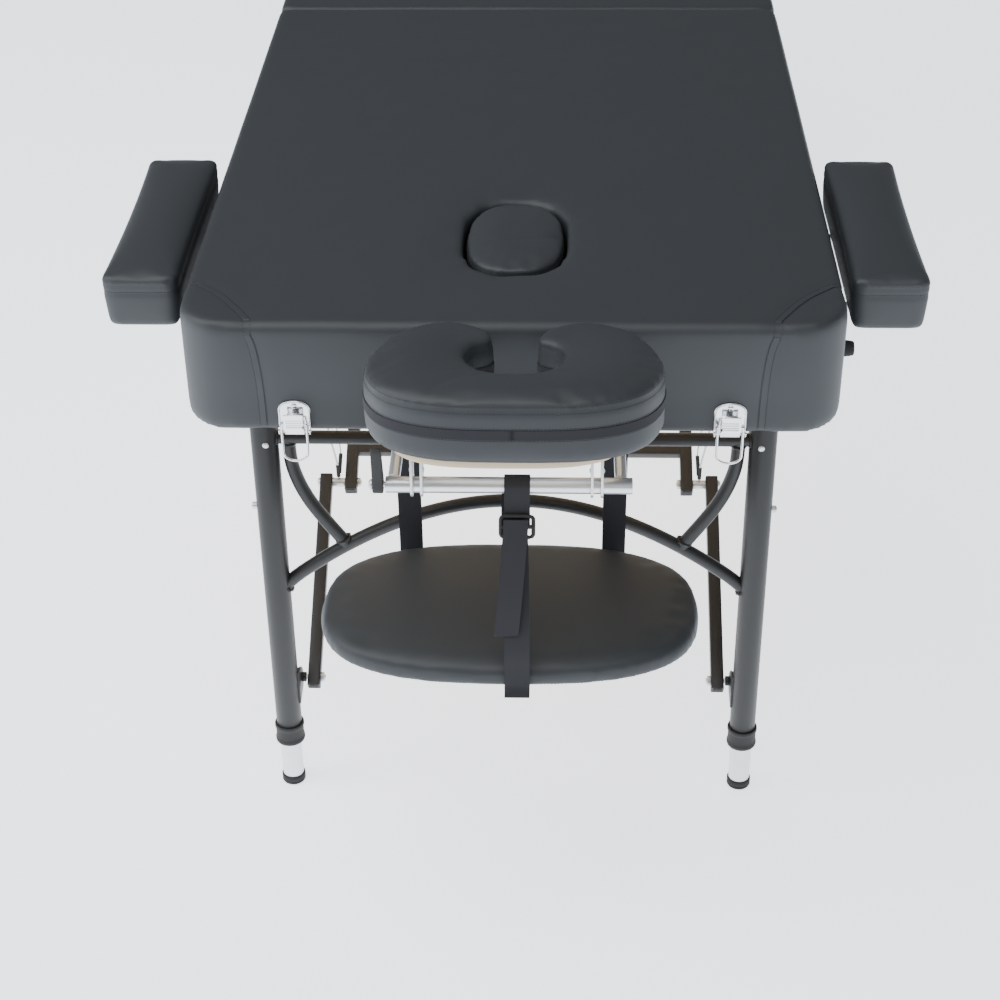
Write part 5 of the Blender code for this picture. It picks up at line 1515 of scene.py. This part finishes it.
# ---- arm shelf's webbing --------------------------------------------------------------------------
def make_harness(sizes):
    width, thick = sizes.strap_width, sizes.strap_thick
    rear = SHELF_Y + SHELF_SIZE[1] / 2 + 0.0022
    front = SHELF_Y - SHELF_SIZE[1] / 2 - 0.0024
    low = SHELF_LOW - 0.0024
    across, along_y = Vector((1, 0, 0)), Vector((0, 1, 0))
    pieces = []
    for side in (-1, 1):
        x = side * SOCKET_X
        y = rear - 0.012
        loop = [(x - 0.001, y, 0.563), (x - 0.0066, y, 0.571), (x - 0.0070, y, 0.578), (x, y, 0.5838),
                (x + 0.0070, y, 0.578),
                (x + 0.0066, y, 0.571), (x + 0.001, y, 0.563)]
        pieces.append(ribbon(even(through(loop, 6), 0.0025), width * 0.84, thick, along_y, 4))
        path = [(x, y, 0.567), (x, y + 0.001, 0.552), (x, rear - 0.008, 0.530), (x, rear - 0.005, 0.48),
                (x, rear, 0.404),
                (x, rear, 0.3716), (x, rear - 0.003, low), (x, rear - 0.034, low)]
        path = even(through(path, 6), 0.004)
        sides = []
        for p in path:
            turn = min(1.0, max(0.0, (0.562 - p.z) / 0.040))
            angle = math.radians(80) * (1 - turn * turn * (3 - 2 * turn)) * side
            sides.append(Vector((math.cos(angle), math.sin(angle), 0)) if p.z > 0.40 else across)
        pieces.append(ribbon(path, width, thick, sides, 6))
    band = [(-SOCKET_X - 0.014, rear - 0.020, low - 0.001), (SOCKET_X + 0.014, rear - 0.020, low - 0.001)]
    pieces.append(ribbon(even([Vector(p) for p in band], 0.01), width, thick, along_y, 4))
    x = 0.010
    tube_y = CRADLE_Y
    main = [(x, tube_y + 0.0080, SOCKET_Z - 0.006), (x, tube_y + 0.0093, SOCKET_Z + 0.002),
            (x, tube_y + 0.0055, SOCKET_Z + 0.0082), (x, tube_y - 0.0015, SOCKET_Z + 0.0094),
            (x, tube_y - 0.0080, SOCKET_Z + 0.0050), (x, tube_y - 0.0098, SOCKET_Z - 0.004),
            (x, tube_y - 0.0120, 0.556), (x, tube_y - 0.0175, 0.541)]
    pieces.append(ribbon(even(through(main, 6), 0.003), width, thick, across, 6))
    back = [(x - 0.002, tube_y + 0.0078, SOCKET_Z - 0.006), (x - 0.003, tube_y - 0.004, 0.556),
            (x - 0.0025, tube_y - 0.0150, 0.541), (x - 0.001, tube_y - 0.028, 0.50), (x, front + 0.004, 0.43),
            (x, front, 0.396), (x, front, 0.374), (x, front + 0.003, low), (x, -0.14, low - 0.0006),
            (x, rear - 0.016, low - 0.0006)]
    pieces.append(ribbon(even(through(back, 6), 0.004), width, thick, across, 6))
    tail = [(x - 0.0010, tube_y - 0.0200, 0.549), (x - 0.0015, tube_y - 0.0235, 0.538),
            (x - 0.0035, tube_y - 0.0330, 0.512),
            (x - 0.0070, tube_y - 0.0480, 0.472), (x - 0.0105, tube_y - 0.0560, 0.436)]
    tail = even(through(tail, 6), 0.003)
    lean = [Vector((1, 0, 0.10 * i / len(tail))).normalized() for i in range(len(tail))]
    pieces.append(ribbon(tail, width * 0.97, thick * 1.15, lean, 6))
    ends = [HALF["head"] @ Vector((0, -0.10, 0.560)), HALF["head"] @ Vector((0, -0.13, 0.410))]
    finish_piece(join("straps", pieces), "shelf_straps", "webbing", ("cradle_mount", "arm_shelf", *ends),
                 HALF["head"], ["shelf_harness"])
    middle = Vector((x, tube_y - 0.0195, 0.541))
    lean = Matrix.Translation(middle) @ Matrix.Rotation(math.radians(90 - 20), 4, "X")
    frame_line = [(px, py, 0) for px, py in rounded(-0.0158, 0.0158, -0.0105, 0.0105, (0.004, 0.004), 4)]
    buckle = [pipe(frame_line, 0.0020, True, 4, 3),
              rod((-0.0150, 0, 0.0006), (0.0150, 0, 0.0006), 0.0021, 16)]
    buckle = join("buckle", buckle)
    finish_piece(buckle, "shelf_strap_buckle", "black_plastic", ("cradle_mount", "arm_shelf", *ends),
                 HALF["head"] @ lean, sharp=35)


# ---- pieces that keep their CAD shape -------------------------------------------------------------
KEPT = {
    "head_wood_frame": ("wood", "wood"), "foot_wood_frame": ("wood", "wood"),
    "head_hinge_leaf": ("zinc", "zinc"), "foot_hinge_leaf": ("zinc", "zinc"),
    "keeper_l": ("chrome", "chrome"), "keeper_r": ("chrome", "chrome"),
    "armrest_bracket_l": ("zinc", "zinc"), "armrest_bracket_r": ("zinc", "zinc"),
}


# ---- the stage: each lamp is a name, place, target, size, power and tint ----------------------------
CAMERA_PLACE = (0.0501, -2.60675, 1.6305)
CAMERA_TURN = (56.40804, 0.58186, 1.63444)
CAMERA_LENS = 71.96
LAMPS = (
    ("overhead", (-1.0, -1.6, 4.2), (0, -0.3, 0.4), (3.5, 2.5), 120, (1.0, 1.0, 1.0)),
    ("left_fill", (-3.2, -1.2, 2.4), (0, -0.5, 0.5), (2.0, 2.4), 80, (0.95, 0.97, 1.0)),
    ("front_fill", (1.2, -4.2, 2.6), (0, -0.8, 0.45), (2.5, 2.0), 8, (1.0, 1.0, 1.0)),
)


# ---- operators ------------------------------------------------------------------------------------
class Maker:
    bl_options = {"REGISTER", "UNDO"}

    def execute(self, context):
        scene = context.scene
        self.make(scene.massage_table_sizes, scene.massage_table_colours)
        return {"FINISHED"}


class MASSAGE_TABLE_OT_finishes(Maker, bpy.types.Operator):
    """Builds every finish and puts the CAD pieces that stay in theirs"""

    bl_idname = "massage_table.finishes"
    bl_label = "Finishes"

    def make(self, sizes, colours):
        make_groups()
        for maker in (make_vinyl, make_thread, make_powder_coat, make_metals, make_timber, make_plastics,
                      make_webbing, make_cable_finish, make_floor_finish):
            maker(colours)
        for node, (finish, slot) in KEPT.items():
            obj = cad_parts[node]
            obj.data.materials.clear()
            obj.data.materials.append(bpy.data.materials[finish])


class MASSAGE_TABLE_OT_covers(Maker, bpy.types.Operator):
    """Adds the padded covers of both halves, with their corner seams"""

    bl_idname = "massage_table.covers"
    bl_label = "Table covers"

    def make(self, sizes, colours):
        for prefix in HALF:
            make_cover(prefix, sizes)


class MASSAGE_TABLE_OT_cushions(Maker, bpy.types.Operator):
    """Adds the breath plug, the cradle cushion, the arm shelf and the armrests"""

    bl_idname = "massage_table.cushions"
    bl_label = "Small cushions"

    def make(self, sizes, colours):
        make_plug(sizes)
        make_cradle_cushion(sizes)
        make_shelf(sizes)
        make_armrests(sizes)


class MASSAGE_TABLE_OT_legs(Maker, bpy.types.Operator):
    """Adds the leg frames and the telescopic legs"""

    bl_idname = "massage_table.legs"
    bl_label = "Legs"

    def make(self, sizes, colours):
        for prefix in HALF:
            make_leg_frame(prefix, sizes)
            for suffix in "ab":
                make_telescope(prefix, suffix)


class MASSAGE_TABLE_OT_braces(Maker, bpy.types.Operator):
    """Adds the folding braces and their stay cables"""

    bl_idname = "massage_table.braces"
    bl_label = "Folding braces"

    def make(self, sizes, colours):
        for prefix in HALF:
            make_arms(prefix)
            for suffix in "ab":
                make_strut(prefix, suffix)
                make_cables(prefix, suffix)


class MASSAGE_TABLE_OT_fittings(Maker, bpy.types.Operator):
    """Adds the latches, the rubber feet and the carry handles"""

    bl_idname = "massage_table.fittings"
    bl_label = "Latches, feet and handles"

    def make(self, sizes, colours):
        for suffix in "lr":
            make_latch(suffix)
        for prefix in HALF:
            make_bumpers(prefix)
            make_handle(prefix)


class MASSAGE_TABLE_OT_cradle(Maker, bpy.types.Operator):
    """Adds the face cradle's tubes, brackets, board and lever"""

    bl_idname = "massage_table.cradle"
    bl_label = "Face cradle"

    def make(self, sizes, colours):
        make_cradle_tubes()
        make_cradle_bracket()
        make_cradle_platform()
        make_cradle_lever()


class MASSAGE_TABLE_OT_harness(Maker, bpy.types.Operator):
    """Adds the webbing that carries the arm shelf"""

    bl_idname = "massage_table.harness"
    bl_label = "Shelf webbing"

    def make(self, sizes, colours):
        make_harness(sizes)


class MASSAGE_TABLE_OT_stage(Maker, bpy.types.Operator):
    """Adds the pale floor, the soft studio light and the camera"""

    bl_idname = "massage_table.stage"
    bl_label = "Stage"

    def make(self, sizes, colours):
        let_go()
        bpy.ops.mesh.primitive_plane_add(size=40, location=(0, 0, -0.0002))
        floor = bake_place(bpy.context.object)
        floor.name = "studio_floor"
        floor.data.materials.append(bpy.data.materials["studio_floor"])
        world = bpy.data.worlds.new("studio")
        world.use_nodes = True
        backdrop = world.node_tree.nodes["Background"]
        backdrop.inputs["Color"].default_value = (0.90, 0.94, 1.0, 1)
        backdrop.inputs["Strength"].default_value = 0.30
        bpy.context.scene.world = world
        for name, place, target, size, power, tint in LAMPS:
            bpy.ops.object.light_add(type="AREA", location=place)
            lamp = bpy.context.object
            lamp.name = name
            lamp.data.shape = "RECTANGLE"
            lamp.data.size, lamp.data.size_y = size
            lamp.data.energy = power
            lamp.data.color = tint
            lamp.rotation_euler = (Vector(place) - Vector(target)).to_track_quat("Z", "Y").to_euler()
        bpy.ops.object.camera_add(location=CAMERA_PLACE, rotation=[math.radians(a) for a in CAMERA_TURN])
        camera = bpy.context.object
        camera.data.lens = CAMERA_LENS
        camera.data.sensor_width = 36
        camera.data.clip_end = 200
        bpy.context.scene.camera = camera


class MASSAGE_TABLE_PT_panel(bpy.types.Panel):
    bl_label = "Massage table"
    bl_space_type = "VIEW_3D"
    bl_region_type = "UI"
    bl_category = "Massage table"

    def draw(self, context):
        for group in (context.scene.massage_table_sizes, context.scene.massage_table_colours):
            for key in group.bl_rna.properties.keys():
                if key not in ("rna_type", "name"):
                    self.layout.prop(group, key)
        for step in STEPS:
            self.layout.operator(step.bl_idname)


STEPS = (
    MASSAGE_TABLE_OT_finishes, MASSAGE_TABLE_OT_covers, MASSAGE_TABLE_OT_cushions, MASSAGE_TABLE_OT_legs,
    MASSAGE_TABLE_OT_braces, MASSAGE_TABLE_OT_fittings, MASSAGE_TABLE_OT_cradle, MASSAGE_TABLE_OT_harness,
    MASSAGE_TABLE_OT_stage,
)
CLASSES = (TableSizes, TableColours, *STEPS, MASSAGE_TABLE_PT_panel)


def register():
    for cls in CLASSES:
        bpy.utils.register_class(cls)
    bpy.types.Scene.massage_table_sizes = PointerProperty(type=TableSizes)
    bpy.types.Scene.massage_table_colours = PointerProperty(type=TableColours)


def unregister():
    del bpy.types.Scene.massage_table_sizes
    del bpy.types.Scene.massage_table_colours
    for cls in reversed(CLASSES):
        bpy.utils.unregister_class(cls)


def main():
    register()
    for step in STEPS:
        module, name = step.bl_idname.split(".")
        getattr(getattr(bpy.ops, module), name)()
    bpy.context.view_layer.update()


if __name__ == "__main__":
    main()
